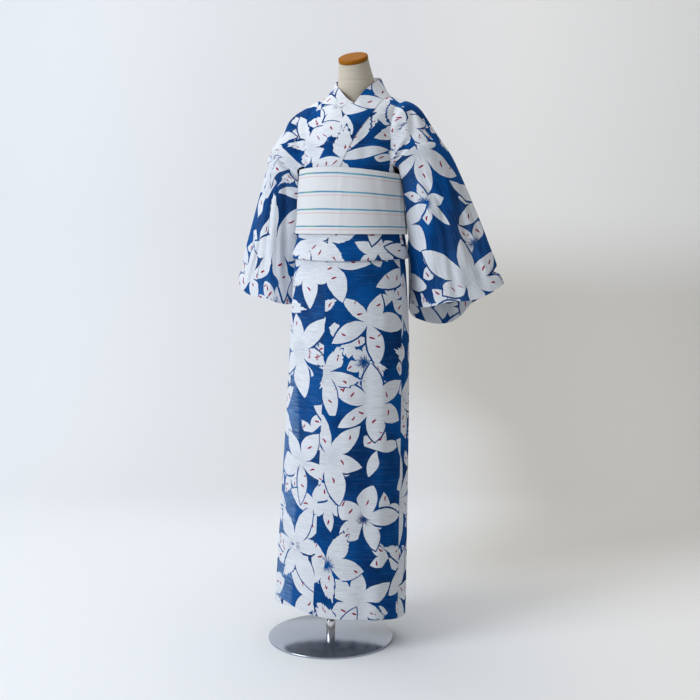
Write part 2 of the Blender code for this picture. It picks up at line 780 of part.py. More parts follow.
capTilt = math.radians(29)
capBase = np.array([0.0440, 0.052, 1.456])
capUp = np.array([0.0, -math.sin(capTilt), math.cos(capTilt)])
capAcross = np.array([0.0, math.cos(capTilt), math.sin(capTilt)])
capRings = []
for radius, lift in [(0.0350, 0.0004), (0.0370, 0.0024), (0.0370, 0.0100), (0.0355, 0.0120), (0.0300, 0.0128)]:
    turn = np.arange(40) * 2 * math.pi / 40
    ring = capBase + capUp * lift + np.outer(np.sin(turn), [radius, 0, 0]) - np.outer(np.cos(turn), capAcross) * radius
    capRings.append(ring)
turned("neck_cap", capRings, wood)
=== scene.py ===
import math

import bpy
import numpy as np
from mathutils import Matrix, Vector


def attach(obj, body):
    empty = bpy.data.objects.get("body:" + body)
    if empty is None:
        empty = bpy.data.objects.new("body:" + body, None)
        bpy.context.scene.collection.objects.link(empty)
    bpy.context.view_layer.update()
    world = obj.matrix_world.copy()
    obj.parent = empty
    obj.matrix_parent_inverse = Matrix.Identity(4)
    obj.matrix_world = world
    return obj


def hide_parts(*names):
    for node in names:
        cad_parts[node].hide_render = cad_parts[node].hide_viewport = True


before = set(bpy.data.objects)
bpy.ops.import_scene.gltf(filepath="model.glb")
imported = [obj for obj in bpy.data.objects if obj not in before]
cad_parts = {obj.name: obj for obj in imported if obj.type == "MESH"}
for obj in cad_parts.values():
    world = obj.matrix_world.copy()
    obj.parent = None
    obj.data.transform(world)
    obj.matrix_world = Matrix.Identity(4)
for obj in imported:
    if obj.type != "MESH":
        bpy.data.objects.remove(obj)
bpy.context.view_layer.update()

# Shader maths


def inFront(operation):  # an operator with the signal before the other value
    return lambda self, other: self.math(operation, other)


def behind(operation):
    return lambda self, other: self.finish.add("Math", {"operation": operation}, [other, self])


class Signal:  # one output socket; Python maths on it adds Math nodes
    def __init__(self, finish, socket):
        self.finish, self.socket = finish, socket

    def math(self, operation, *others):
        return self.finish.add("Math", {"operation": operation}, [self, *others])

    def other(self, name):  # another output of the same node
        return Signal(self.finish, self.socket.node.outputs[name])

    def parts(self):  # the three numbers of a vector or a colour
        first = self.finish.add("SeparateXYZ", {}, [self])
        return first, first.other("Y"), first.other("Z")

    def __abs__(self):
        return self.math("ABSOLUTE")

    __add__ = __radd__ = inFront("ADD")
    __mul__ = __rmul__ = inFront("MULTIPLY")
    __sub__, __rsub__ = inFront("SUBTRACT"), behind("SUBTRACT")
    __truediv__, __rtruediv__ = inFront("DIVIDE"), behind("DIVIDE")
    __pow__, __gt__, __lt__ = map(inFront, ("POWER", "GREATER_THAN", "LESS_THAN"))


class Finish:  # a material
    def __init__(self, name, **fixed):
        self.material = bpy.data.materials.new(name)
        self.material.use_nodes = True
        self.tree = self.material.node_tree
        self.shader = self.tree.nodes["Principled BSDF"]
        for key, value in fixed.items():
            self.shader.inputs[key.replace("_", " ")].default_value = value

    def add(self, kind, settings, inputs, output=0):
        made = self.tree.nodes.new("ShaderNode" + kind)
        for key, value in settings.items():
            if key == "stops":
                ramp = made.color_ramp.elements
                for place, colour in value[2:]:
                    ramp.new(place)
                for element, (place, colour) in zip(ramp, value):
                    element.position, element.color = place, (*colour, 1)
            else:
                setattr(made, key, value)
        live = [s for s in made.inputs if s.enabled]
        for key, value in inputs.items() if isinstance(inputs, dict) else enumerate(inputs):
            socket = live[key] if isinstance(key, int) else next(s for s in live if s.name == key)
            if isinstance(value, Signal):
                self.tree.links.new(value.socket, socket)
            else:
                socket.default_value = value
        outs = [s for s in made.outputs if s.enabled]
        return Signal(self, outs[output] if isinstance(output, int) else next(s for s in outs if s.name == output))

    def vector(self, operation, *values):
        return self.add("VectorMath", {"operation": operation}, list(values))

    def noise(self, place, scale, detail=2.0, roughness=0.5, distortion=0.0, output=0):
        sizes = {"Vector": place, "Scale": scale, "Detail": detail, "Roughness": roughness, "Distortion": distortion}
        return self.add("TexNoise", {"noise_dimensions": "3D"}, sizes, output)

    def drawn(self, place, x, y, z=1.0, detail=2.0, roughness=0.6, distortion=0.0):  # noise drawn out along the axes
        return self.noise(self.vector("MULTIPLY", place, (x, y, z)), 1.0, detail, roughness, distortion)

    def spot(self):  # where a point lies in the piece's own axes
        return self.add("TexCoord", {}, {}, "Object")

    def mixed(self, factor, a, b):  # colours
        a, b = ((*v, 1) if isinstance(v, tuple) else v for v in (a, b))
        return self.add("Mix", {"data_type": "RGBA"}, {"Factor": factor, "A": a, "B": b})

    def eased(self, value, low, high):  # 0 at low, 1 at high, soft at both
        settings = {"interpolation_type": "SMOOTHSTEP"}
        return self.add("MapRange", settings, {"Value": value, "From Min": low, "From Max": high})

    def bump(self, height, distance, strength=1.0):
        return self.add("Bump", {}, {"Strength": strength, "Distance": distance, "Height": height})

    def wear(self, **given):
        for key, signal in given.items():
            self.tree.links.new(signal.socket, self.shader.inputs[key.replace("_", " ")])
        return self.material


def colourOf(text):  # a hex colour as linear numbers
    values = [int(text[k : k + 2], 16) / 255 for k in (0, 2, 4)]
    return tuple(v / 12.92 if v < 0.04045 else ((v + 0.055) / 1.055) ** 2.4 for v in values)


# Finishes

clothPrint = {
    "ground": colourOf("005096"),
    "groundDark": colourOf("062C5C"),
    "petal": colourOf("DCE0E6"),
    "petalShade": colourOf("B7BCC4"),
    "fleck": colourOf("8E1F3E"),
    # painted light: a pale blue where light is painted as shining through the sheer cloth
    "thin": colourOf("7E9FC4"),
    "flowers": [  # spacing, reach, half width of a petal, start across and down, scatter, share kept
        (0.236, 0.134, 0.0238, 0.0, 0.0, 0.3, 1.0),
        (0.236, 0.124, 0.0226, 4.13, 2.242, 0.3, 1.0),
        (0.128, 0.072, 0.0148, 3.1, 1.7, 0.66, 0.8),
    ],
    "gap": 0.003,
    "heart": 0.024,  # no flecks nearer than this to a flower's middle
    "sixPetals": 0.45,  # a flower's or a petal's own random number gives it these when it is above them
    "openHeart": 0.78,
    "frayed": 0.8,
    "flecked": 0.58,
}


def flower(f, flat, spacing, reach, halfWidth, startU, startV, scatter, keep):
    # One flower to each cell: five or six petals, each with its own length, breadth, bend and end
    look = clothPrint
    place = f.vector("ADD", flat, (startU, startV, 0.0))
    sizes = {"Vector": place, "Scale": 1 / spacing, "Randomness": scatter}
    settings = {"voronoi_dimensions": "2D", "feature": "F1"}
    centre = f.add("TexVoronoi", settings, sizes, "Position")
    first, second, third = centre.other("Color").parts()
    away = f.vector("SUBTRACT", place, centre)
    x, y, _ = away.parts()
    radius = (x * x + y * y) ** 0.5
    ray = f.noise(f.vector("ADD", f.vector("NORMALIZE", away), centre), 15.0, 1.0, 0.6)
    count = (second > look["sixPetals"]) + 5
    sector = (y.math("ARCTAN2", x) + first * math.tau) * count / math.tau
    petal = (sector + 0.5).math("FLOOR")
    off = (sector - petal) * math.tau / count
    key = f.add("CombineXYZ", {}, [petal.math("FLOORED_MODULO", count), first * 91, third * 57])
    luck = f.add("TexWhiteNoise", {"noise_dimensions": "3D"}, {"Vector": key}, "Color")
    one, two, three = luck.parts()
    length = (one * 0.36 + 0.64) * (second * 0.16 + 0.88) * reach
    frayed = (ray - 0.42) * (three > look["frayed"])
    ahead = radius * off.math("COSINE") / length * (frayed * 0.62 + 1)
    inside = ahead.math("MAXIMUM", 0.0).math("MINIMUM", 1.0)
    bend = (three - 0.5) * inside * (1 - inside) * reach * 0.45
    beside = radius * off.math("SINE") + bend
    outline = (two * 0.42 + 0.74) * halfWidth / 0.262 * inside**0.92 * (1 - inside) ** (three * 0.32 + 0.82)
    outline = outline + (0.01 - radius).math("MAXIMUM", 0.0)
    edge = outline - abs(beside) - (ahead - 1).math("MAXIMUM", 0.0) * length
    edge = edge - (two < 1 - keep) * 0.05
    edge = edge - (radius < (ray - 0.25) * 0.05 * (third > look["openHeart"])) * 0.05
    fleck = 0
    for along, across, turn, size in ((0.44, 0.24, 7.0, 0.0075), (0.66, -0.2, 11.0, 0.0062)):
        a = (ahead - along - (two - 0.5) * 0.24) * length
        b = beside - (three - 0.5) * across * halfWidth * 2
        spin = three * turn + one * 5
        c, s = spin.math("COSINE"), spin.math("SINE")
        stroke = ((a * c + b * s) / size) ** 2 + ((b * c - a * s + a * a * 40) / 0.0021) ** 2
        fleck = (stroke < 1) * ((one * turn).math("FRACT") > look["flecked"]) * (radius > look["heart"]) + fleck
    return edge, fleck, radius


def clothCotton():
    look = clothPrint
    f = Finish("printed_cotton", Roughness=0.9, Specular_IOR_Level=0.06)
    flat = f.add("UVMap", {"uv_map": "cloth"}, {})
    rough = f.noise(flat, 42.0, 3.0, 0.6, output="Color")
    rough = f.vector("MULTIPLY", f.vector("SUBTRACT", rough, (0.5, 0.5, 0.5)), (0.004, 0.004, 0.0))
    place = f.vector("ADD", flat, rough)
    flowers = [flower(f, place, *sizes) for sizes in look["flowers"]]
    near, far, small = (made[0] for made in flowers)
    white = near > 0
    white = white.math("MAXIMUM", (far > 0) * (near < -look["gap"]))
    clear = (near < -look["gap"] * 1.6) * (far < -look["gap"] * 1.6)
    white = white.math("MAXIMUM", (small > 0) * clear)
    fleck = (flowers[0][1] * (near > 0.001)).math("MAXIMUM", flowers[1][1] * (far > 0.001) * (near < -look["gap"]))
    fleck = fleck.math("MAXIMUM", flowers[2][1] * (small > 0.001) * clear)

    weft = f.drawn(flat, 24.0, 620.0)
    warp = f.drawn(flat, 700.0, 60.0, 1.0, 1.0, 0.5)
    slub = f.eased(f.drawn(flat, 11.0, 260.0, roughness=0.55), 0.52, 0.74)
    cloudy = f.noise(flat, 7.0, 3.0, 0.6)
    ground = f.mixed(weft * 0.7 + f.eased(cloudy, 0.3, 0.7) * 0.8 - 0.3, look["groundDark"], look["ground"])
    # slubs and open warp paled towards the same painted lit-through blue
    ground = f.mixed(slub * 0.1 + f.eased(warp, 0.55, 0.75) * 0.05, ground, look["thin"])
    heart = 1 - f.eased(flowers[0][2], 0.008, 0.04)
    threads = f.eased(weft, 0.34, 0.68) * 0.56 + f.eased(warp, 0.4, 0.66) * 0.14 + slub * 0.22
    petal = f.mixed(threads + heart * 0.3 * (near > 0), look["petal"], look["petalShade"])
    # painted light: the ground paled where the sheer cloth is painted as lit through from behind
    thin = f.add("Attribute", {"attribute_name": "thin"}, {}, "Fac")
    ground = f.mixed(thin * f.eased(weft, 0.4, 0.62) * 0.8 + thin * 0.15, ground, look["thin"])
    colour = f.mixed(white, ground, petal)
    colour = f.mixed(fleck.math("MINIMUM", 1.0), colour, look["fleck"])
    bump = f.bump(weft * 0.7 + warp * 0.35 + slub * 0.8, 0.0003, 0.55)
    return f.wear(Base_Color=colour, Normal=bump)


obiLook = {
    "ground": colourOf("DADBDD"),
    "groundShade": colourOf("C9CACC"),
    "blues": [(0.0, colourOf("58AAB0")), (0.4, colourOf("2C90AE")), (0.7, colourOf("1C76A0")), (1.0, colourOf("4C9C88"))],
    "pink": colourOf("C9A3A6"),
    "blueDown": (0.085, 0.362, 0.615, 0.88),
    "pinkDown": (0.137, 0.412, 0.672, 0.932),
}


def obiCotton():
    look = obiLook
    f = Finish("obi_cotton", Roughness=0.85, Specular_IOR_Level=0.25, Sheen_Weight=0.1)
    flat = f.add("UVMap", {"uv_map": "cloth"}, {})
    u, down, _ = flat.parts()
    wave = f.drawn(flat, 14.0, 2.0, 1.0, 1.0, 0.5) * 0.02 - 0.01
    weave = f.drawn(flat, 500.0, 120.0)
    ground = f.mixed(weave * 0.8, look["ground"], look["groundShade"])
    tint = f.eased(f.drawn(flat, 7.0, 0.0), 0.3, 0.7)
    blue = f.add("ValToRGB", {"stops": look["blues"]}, [tint])
    blues = pinks = 0
    for place in look["blueDown"]:
        blues = f.eased(abs(down - place + wave), 0.017, 0.007) + blues
    for place in look["pinkDown"]:
        pinks = f.eased(abs(down - place + wave), 0.012, 0.004) + pinks
    colour = f.mixed(blues * (weave * 0.35 + 0.72), ground, blue)
    colour = f.mixed(pinks * (weave * 0.5 + 0.35), colour, look["pink"])
    ribs = (down * 900.0).math("SINE") * 0.25
    return f.wear(Base_Color=colour, Normal=f.bump(weave + ribs, 0.00035, 0.5))


def formLinen():
    f = Finish("form_linen", Roughness=0.9, Specular_IOR_Level=0.1)
    at = f.spot()
    threads = f.drawn(at, 260.0, 260.0, 1500.0)
    cross = f.drawn(at, 1300.0, 1300.0, 220.0)
    bands = f.drawn(at, 9.0, 9.0, 300.0, 1.0, 0.5)
    colour = f.mixed(threads * 0.5 + cross * 0.4 + bands * 0.5 - 0.2, colourOf("AFA491"), colourOf("D6CEBF"))
    return f.wear(Base_Color=colour, Normal=f.bump(threads + cross, 0.0004, 0.6))


def capWood():
    f = Finish("cap_wood", Roughness=0.5, Specular_IOR_Level=0.08)
    at = f.spot()
    grain = f.drawn(at, 30.0, 420.0, 420.0, 3.0, 0.6, 0.6)
    fine = f.drawn(at, 90.0, 1500.0, 1500.0)
    colour = f.mixed(grain * 0.9 + fine * 0.3 - 0.1, colourOf("703A04"), colourOf("B07216"))
    return f.wear(Base_Color=colour, Roughness=fine * 0.18 + 0.42, Normal=f.bump(fine, 0.0001, 0.4))


def baseSteel():
    f = Finish("base_steel", Metallic=0.84, Roughness=0.24)
    at = f.spot()
    brushed = f.drawn(at, 12.0, 1400.0, 40.0, 3.0)
    worn = f.noise(at, 14.0, 3.0, 0.6)
    colour = f.mixed(brushed * 0.5 + worn * 0.3, colourOf("A6ADBA"), colourOf("C2C8D3"))
    rough = brushed * 0.1 + worn * 0.12 + 0.08
    return f.wear(Base_Color=colour, Roughness=rough, Normal=f.bump(brushed, 0.00005, 0.35))


def poleChrome():
    f = Finish("pole_chrome", Metallic=1.0, Roughness=0.1)
    at = f.spot()
    worn = f.noise(at, 60.0, 3.0, 0.6)
    colour = f.mixed(worn, colourOf("C9C8C6"), colourOf("E4E4E2"))
    return f.wear(Base_Color=colour, Roughness=worn * 0.1 + 0.05)


printed, belting, linen, wood = clothCotton(), obiCotton(), formLinen(), capWood()
steel, chrome = baseSteel(), poleChrome()
print("finishes made")

# Sizes and curves of the cloth

collarWall = 0.002
obiWall = 0.002
layerPitch = 0.0026
foldSag, sagBreadth, sagReach = 0.0055, 45, 0.045  # the waist fold hangs lower in front
clothWall = 0.0008
wallOffsets = (clothWall / 2, -clothWall / 2)
hemHeight, hemCornerLift, underHemLift = 0.09, 0.026, 0.012
hemDip, hemDipAt, hemDipBreadth = 0.016, 94, 38
cordHeight, tuckHeight = 1.059, 0.975
obiBottom, obiTop = 1.03, 1.194
yokeHeight = 1.201
okumiSeam, okumiEdge, sideSeam, frontArmAngle = -8.0, -68.0, 78.0, 64.0
collarWidth, collarSlope, collarEnd, collarCentre = 0.06, 0.3816, 1.061, 0.003
skirtRipples = [(3, 0.0016, 40), (5, 0.0011, 155), (8, 0.0006, 20)]


def table(names, rows):  # lengths are given in millimetres, tilt and rise in degrees
    columns = zip(names.split(), np.array(rows, float).T)
    return {name: column if name in ("tilt", "rise") else column / 1000 for name, column in columns}


rings = table("height centreX centreY halfWidth halfDepth", [
    (80, 20.5, 8, 170.5, 121), (307, 25.2, 20, 164.3, 119), (565, 31.3, 33, 156.8, 117), (771, 34.5, 42, 150.2, 115.5),
    (885, 35, 46, 145.5, 112), (975, 35, 49, 138, 102), (1035, 37.5, 51, 124, 91.5), (1125, 39.5, 53, 119.5, 90),
    (1201, 44, 54, 118, 90.5),
])
ridge = {  # the line of the shoulder, out from the middle
    1: table("width height", [
        (0, 1347), (66, 1361), (88, 1360.5), (115, 1351.5), (144, 1339.5), (156, 1328.5), (184, 1287), (219, 1237),
    ]),
    -1: table("width height", [
        (0, 1347), (66, 1359), (93, 1358.5), (130, 1341), (156, 1327.5), (166, 1317.5), (188, 1283), (219, 1234.5),
    ]),
}


def curved(a, b, slopeA, slopeB, t, step=1.0):  # from a to b, with the slopes held at both
    start = (1 + 2 * t) * (1 - t) ** 2 * a + t * (1 - t) ** 2 * step * slopeA
    return start + t * t * (3 - 2 * t) * b + t * t * (t - 1) * step * slopeB


def along(columns, name, at):  # one column of a table, on a smooth curve over its first
    x, y = next(iter(columns.values())), columns[name]
    at = np.clip(np.asarray(at, float), x[0], x[-1])
    slope = np.gradient(y, x)
    i = np.clip(np.searchsorted(x, at) - 1, 0, len(x) - 2)
    step = x[i + 1] - x[i]
    return curved(y[i], y[i + 1], slope[i], slope[i + 1], (at - x[i]) / step, step)


def smooth(t):
    t = np.clip(t, 0, 1)
    return t * t * (3 - 2 * t)


def mix(a, b, t):
    return a + (b - a) * t


def unit(v):
    return v / np.linalg.norm(v, axis=-1, keepdims=True)


def joined(x, y, z):
    return np.stack(np.broadcast_arrays(x, y, z), axis=-1)


def turnedTo(normals, towards):
    return normals * np.sign((normals * towards).sum())


def refined(grid, rows, columns, tube=False):  # a grid on smooth curves through a coarser one
    for axis, count, closed in ((0, rows, False), (1, columns, tube)):
        grid = np.moveaxis(grid, axis, 0)
        held = np.concatenate([grid, grid[:1]]) if closed else grid
        slope = np.gradient(held, axis=0)
        if closed:
            slope[0] = slope[-1] = (held[1] - held[-2]) / 2
        at = np.linspace(0, len(held) - 1, count + 1 if closed else count)
        i = np.clip(at.astype(int), 0, len(held) - 2)
        t = (at - i).reshape(-1, *[1] * (held.ndim - 1))
        made = curved(held[i], held[i + 1], slope[i], slope[i + 1], t)
        grid = np.moveaxis(made[:-1] if closed else made, 0, axis)
    return grid


def gridNormals(grid, tube=False):
    up = np.gradient(grid, axis=0)
    if tube:
        over = (np.roll(grid, -1, axis=1) - np.roll(grid, 1, axis=1)) / 2
    else:
        over = np.gradient(grid, axis=1)
    return unit(np.cross(over, up))


def lengths(grid, axis):  # running length along one axis of a grid
    step = np.linalg.norm(np.diff(grid, axis=axis), axis=-1)
    start = np.zeros_like(np.take(step, [0], axis=axis))
    return np.concatenate([start, np.cumsum(step, axis=axis)], axis=axis)


def placed(name, data):
    made = bpy.data.objects.new(name, data)
    bpy.context.collection.objects.link(made)
    return made


def meshPiece(name, points, faces, finish, uv=None, thin=None, sharp=40):
    mesh = bpy.data.meshes.new(name)
    mesh.from_pydata(points.tolist(), [], faces.tolist() if isinstance(faces, np.ndarray) else faces)
    mesh.materials.append(finish)
    if uv is not None:
        layer = mesh.uv_layers.new(name="cloth")
        layer.data.foreach_set("uv", np.asarray(uv, np.float32).ravel())
    # a mask of painted light shining through the sheer cloth, read by the shader
    if thin is not None:
        mesh.attributes.new("thin", "FLOAT", "POINT").data.foreach_set("value", np.asarray(thin, np.float32))
    mesh.shade_smooth()
    mesh.set_sharp_from_angle(angle=math.radians(sharp))
    placed(name, mesh)


def shell(name, outer, inner, finish, tube=False, anchor=0.5, shift=(0.0, 0.0), turn=False, thin=None, coords=None):
    # A thin closed wall between two grids, with its flat cloth coordinates in metres
    rows, columns = outer.shape[:2]
    count = rows * columns
    middle = (outer + inner) / 2
    if tube:
        middle = np.concatenate([middle, middle[:, :1]], axis=1)
    if coords is None:
        u, v = lengths(middle, 1), lengths(middle, 0)
        at = int(anchor * (middle.shape[1] - 1))
        u = u - u[:, at : at + 1]
        v = np.broadcast_to(v[:, at : at + 1], u.shape)
        coords = np.stack([v, u] if turn else [u, v], axis=-1) + np.array(shift)
    r, c = np.meshgrid(np.arange(rows - 1), np.arange(columns if tube else columns - 1), indexing="ij")
    r, c = r.ravel(), c.ravel()
    corners = [(r, c), (r, c + 1), (r + 1, c + 1), (r + 1, c)]
    face = np.stack([i * columns + j % columns for i, j in corners], axis=-1)
    flat = np.stack([coords[i, j] for i, j in corners], axis=1)
    outside, within = outer.reshape(-1, 3), inner.reshape(-1, 3)
    a, b, d = (outside[face[:, k]] for k in (0, 1, 3))
    flipped = np.einsum("ij,ij->i", np.cross(b - a, d - a), a - within[face[:, 0]]).sum() < 0
    if flipped:
        face, flat = face[:, ::-1], flat[:, ::-1]
    faces, uvs = [face, face[:, ::-1] + count], [flat, flat[:, ::-1]]
    line = np.arange(columns if tube else columns - 1)
    ends = [(0 * line + row, line, 0, 1, row > 0) for row in (0, rows - 1)]
    if not tube:
        line = np.arange(rows - 1)
        ends += [(line, 0 * line + column, 1, 0, column == 0) for column in (0, columns - 1)]
    for r, c, down, over, turned in ends:  # the narrow faces that close the wall at its edges
        p, q = r * columns + c, (r + down) * columns + (c + over) % columns
        near, far = coords[r, c], coords[r + down, c + over]
        way = -1 if turned != flipped else 1
        faces.append(np.stack([p, p + count, q + count, q], axis=-1)[:, ::way])
        uvs.append(np.stack([near, near, far, far], axis=1)[:, ::way])
    weight = None if thin is None else np.concatenate([thin.ravel(), thin.ravel()])
    meshPiece(name, np.concatenate([outside, within]), np.concatenate(faces), finish, np.concatenate(uvs), weight)
    run, over = lengths(middle, 0)[-1], lengths(middle, 1)[:, -1]
    side = np.linalg.norm(np.cross(np.diff(middle, axis=1)[:-1], np.diff(middle, axis=0)[:, :-1]), axis=-1)
    print(f"{name}: widest {over.max():.3f}, longest {run.max():.3f}, area {side.sum():.4f}")


creaseEase, crestPart, crestAt = 0.14, 0.45, 1.7  # how far the ends run on, and the ridge beside each trough


def creases(lines, across, down, wide, high, closed=False):  # between two places; depth and breadth in millimetres
    total = 0.0
    for fromAcross, fromDown, toAcross, toDown, depth, breadth in lines:
        over = across - fromAcross
        if closed:
            over = (over + 0.5) % 1 - 0.5
        x, y = over * wide, (down - fromDown) * high
        runX, runY = (toAcross - fromAcross) * wide, (toDown - fromDown) * high
        reach = math.hypot(runX, runY)
        t = (x * runX + y * runY) / reach**2
        apart = (x * runY - y * runX) / reach / (breadth / 1000)
        fade = smooth((t + creaseEase) / 0.3) * smooth((1 + creaseEase - t) / 0.3)
        total = total + depth / 1000 * fade * (np.exp(-(apart**2)) - crestPart * np.exp(-((apart - crestAt) ** 2)))
    return total


def between(grid, normals, wall):
    return grid + normals * wall / 2, grid - normals * wall / 2


# The body that the cloth goes round


def bodyPoint(side, angle, height):
    turn = np.radians(angle)
    ripple = 0.0
    for count, depth, start in skirtRipples:
        ripple = ripple + depth * np.sin(count * side * turn + math.radians(start))
    ripple = ripple * smooth((0.875 - height) / 0.6) + drape(side * np.asarray(angle), height)
    wide = along(rings, "halfWidth", height) + ripple
    deep = along(rings, "halfDepth", height) + ripple
    x = along(rings, "centreX", height) + side * wide * np.sin(turn)
    y = along(rings, "centreY", height) - deep * np.cos(turn)
    return joined(x, y, height)


skirtFolds = [  # soft folds: angle from the front, top, bottom, depth, breadth and lean in degrees
    (-52, 0.9, 0.1, 0.0022, 5.0, 6), (-34, 0.84, 0.14, -0.0018, 6.0, -4), (14, 0.93, 0.3, 0.0016, 5.0, 5),
    (33, 0.9, 0.09, -0.0026, 6.5, 3), (52, 0.94, 0.1, 0.0026, 6.0, -5), (75, 0.9, 0.1, -0.002, 6.0, 4),
    (104, 0.93, 0.1, 0.0028, 7.0, 5), (131, 0.9, 0.12, -0.0026, 6.0, -6), (158, 0.94, 0.1, 0.0026, 7.0, 4),
    (-176, 0.92, 0.12, -0.0022, 6.0, 6), (-150, 0.93, 0.1, 0.0028, 7.0, -4), (-122, 0.91, 0.12, -0.0026, 6.0, 5),
    (-95, 0.93, 0.1, 0.0024, 6.0, 3),
]


def drape(turn, height):
    total = 0.0
    for angle, top, bottom, depth, breadth, lean in skirtFolds:
        apart = (turn - angle - lean * (top - height) + 180) % 360 - 180
        fade = smooth((top - height) / 0.16) * smooth((height - bottom + 0.14) / 0.16)
        total = total + depth * np.exp(-((apart / breadth) ** 2)) * fade
    return total


def bodyNormal(side, angle, height):
    step = 1e-3
    across = bodyPoint(side, angle + 0.2, height) - bodyPoint(side, angle - 0.2, height)
    upward = bodyPoint(side, angle, height + step) - bodyPoint(side, angle, height - step)
    return side * unit(np.cross(across, upward))


def onBody(side, angle, height, out):
    angle, height, out = np.broadcast_arrays(angle, height, out)
    return bodyPoint(side, angle, height) + bodyNormal(side, angle, height) * out[..., None]


yokeX, yokeY, yokeWide, yokeDeep = (
    float(along(rings, name, yokeHeight)) for name in ("centreX", "centreY", "halfWidth", "halfDepth")
)
armWidth = yokeWide * math.sin(math.radians(frontArmAngle))
neckWidth, tipWidth = 0.085, 0.219
neckBackHeight, neckBackDepth, neckTurn = 1.37, 0.097, 56.25


def ridgeDepth(width):
    inside = -0.005 + 0.039 * (np.minimum(width, 0.066) / 0.066) ** 2
    return inside - 0.006 * smooth((width - 0.066) / 0.06)


def yokeProfile(width):
    curve = yokeDeep * np.sqrt(np.maximum(1 - (np.minimum(np.abs(width), armWidth) / yokeWide) ** 2, 0))
    return curve - 0.1 * np.maximum(np.abs(width) - armWidth, 0)


def yokePoint(side, face, width, rise):
    turn = np.radians(rise)
    size = np.abs(width)
    top = along(ridge[side], "height", size)
    height = yokeHeight + (top - yokeHeight) * np.sin(turn)
    top = ridgeDepth(size)
    if face == "front":
        y = top - (top + yokeProfile(size)) * np.cos(turn) - 0.004 * np.sin(2 * turn)
    else:
        y = top + (yokeProfile(size) - top) * np.cos(turn) + 0.018 * np.sin(2 * turn)
    return joined(yokeX + side * width, yokeY + y, height)


def yokeEdges(face, rise):
    lift = np.sin(np.radians(rise))
    outer = armWidth + (tipWidth - armWidth) * lift**0.6
    if face == "front":
        return collarCentre + (neckWidth - collarCentre) * lift**1.2, outer
    inner = neckWidth * np.sin(np.pi / 2 * np.clip((rise - neckTurn) / (90 - neckTurn), 0, 1))
    return inner, outer


def neckline(side, rise):
    up = np.clip(rise / neckTurn, 0, 1)
    over = np.clip((rise - neckTurn) / (90 - neckTurn), 0, 1) * np.pi / 2
    height = yokeHeight + (neckBackHeight - yokeHeight) * up**0.9
    height = height - (neckBackHeight - float(along(ridge[side], "height", neckWidth))) * np.sin(over)
    topDepth = float(ridgeDepth(neckWidth))
    depth = yokeDeep + (neckBackDepth - yokeDeep) * up
    depth = topDepth + (depth - topDepth) * np.cos(over)
    inner = yokeEdges("back", rise)[0]
    return joined(yokeX + side * inner, yokeY + depth, height)


def panelPoint(side, face, across, rise):
    inner, outer = yokeEdges(face, rise)
    point = yokePoint(side, face, mix(inner, outer, across), rise)
    if face == "back":
        shift = neckline(side, rise) - yokePoint(side, face, inner, rise)
        point = point + shift * ((1 - across) ** 2)[..., None]
    return point


def panelNormal(side, face, across, rise):
    step = 0.01
    near, far = np.clip(across - step, 0, 1), np.clip(across + step, 0, 1)
    over = panelPoint(side, face, far, rise) - panelPoint(side, face, near, rise)
    low, high = np.clip(rise - 1, 0, 90), np.clip(rise + 1, 0, 90)
    up = panelPoint(side, face, across, high) - panelPoint(side, face, across, low)
    normal = unit(np.cross(over, up)) * side * (1 if face == "front" else -1)
    ridgeNormal = unit(np.cross(np.array([0.0, 1.0, 0.0]), over)) * side
    ridgeNormal = ridgeNormal * np.sign(ridgeNormal[..., 2:])
    normal = unit(mix(normal, ridgeNormal, smooth((rise - 78) / 12)[..., None]))
    if face == "back":
        normal[..., 0] = np.where((across <= 0) & (rise <= neckTurn), 0.0, normal[..., 0])
    return unit(normal)


# The body panels, each cut in one from the front hem over the shoulder to the back hem


def layerOf(side, angle):
    back = 0.5 * smooth((angle - sideSeam) / (180 - sideSeam))
    return 1 - back if side > 0 else back


def hemOf(side, angle):
    corner = smooth((okumiSeam + 20 - angle) / (okumiSeam + 20 - okumiEdge))
    low = hemHeight + hemCornerLift * corner
    if side < 0:
        return low + underHemLift * smooth((sideSeam - angle) / 60)
    return low - hemDip * np.exp(-(((angle - hemDipAt) / hemDipBreadth) ** 2))


def innerAngle(height):
    wide = along(rings, "halfWidth", yokeHeight) + 4.5 * layerPitch
    seam = np.degrees(np.arcsin((collarCentre - (yokeHeight - height) * collarSlope) / wide))
    return np.where(height < collarEnd, okumiSeam, np.maximum(okumiSeam - 2, seam))


stations = []  # how a column of cloth runs: up to the cord, down to the tuck, and up again outside it
for kind, count in (("skirt", 110), ("cord", 8), ("down", 9), ("tuck", 10), ("up", 34)):
    stations += [(kind, t) for t in np.linspace(0, 1, count + 1)[:-1]]
stations.append(("up", 1.0))


def station(kind, t, w, hem):  # height, distance out, and how the outer side faces
    # Out from the body, in layers: the skirt from 0 to 1, the way down from 2 to 3, the way up again from 4 to 5
    flat = 0 * w
    if kind == "skirt":
        return mix(hem, cordHeight, t**1.05), w * layerPitch, flat + 1, flat
    if kind == "down":
        return mix(cordHeight, tuckHeight, t) + flat, (3 - w) * layerPitch, flat - 1, flat
    if kind == "up":
        return mix(tuckHeight, yokeHeight, t) + flat, (4 + w) * layerPitch, flat + 1, flat
    a = math.pi * t
    if kind == "cord":
        radius = (3 - 2 * w) * layerPitch / 2
        rise, out = radius * math.sin(a), radius * math.cos(a)
        return cordHeight + rise, 1.5 * layerPitch - out, flat + math.cos(a), flat - math.sin(a)
    radius = (1 + 2 * w) * layerPitch / 2
    return tuckHeight - radius * math.sin(a), 3.5 * layerPitch - radius * math.cos(a), flat - math.cos(a), flat - math.sin(a)


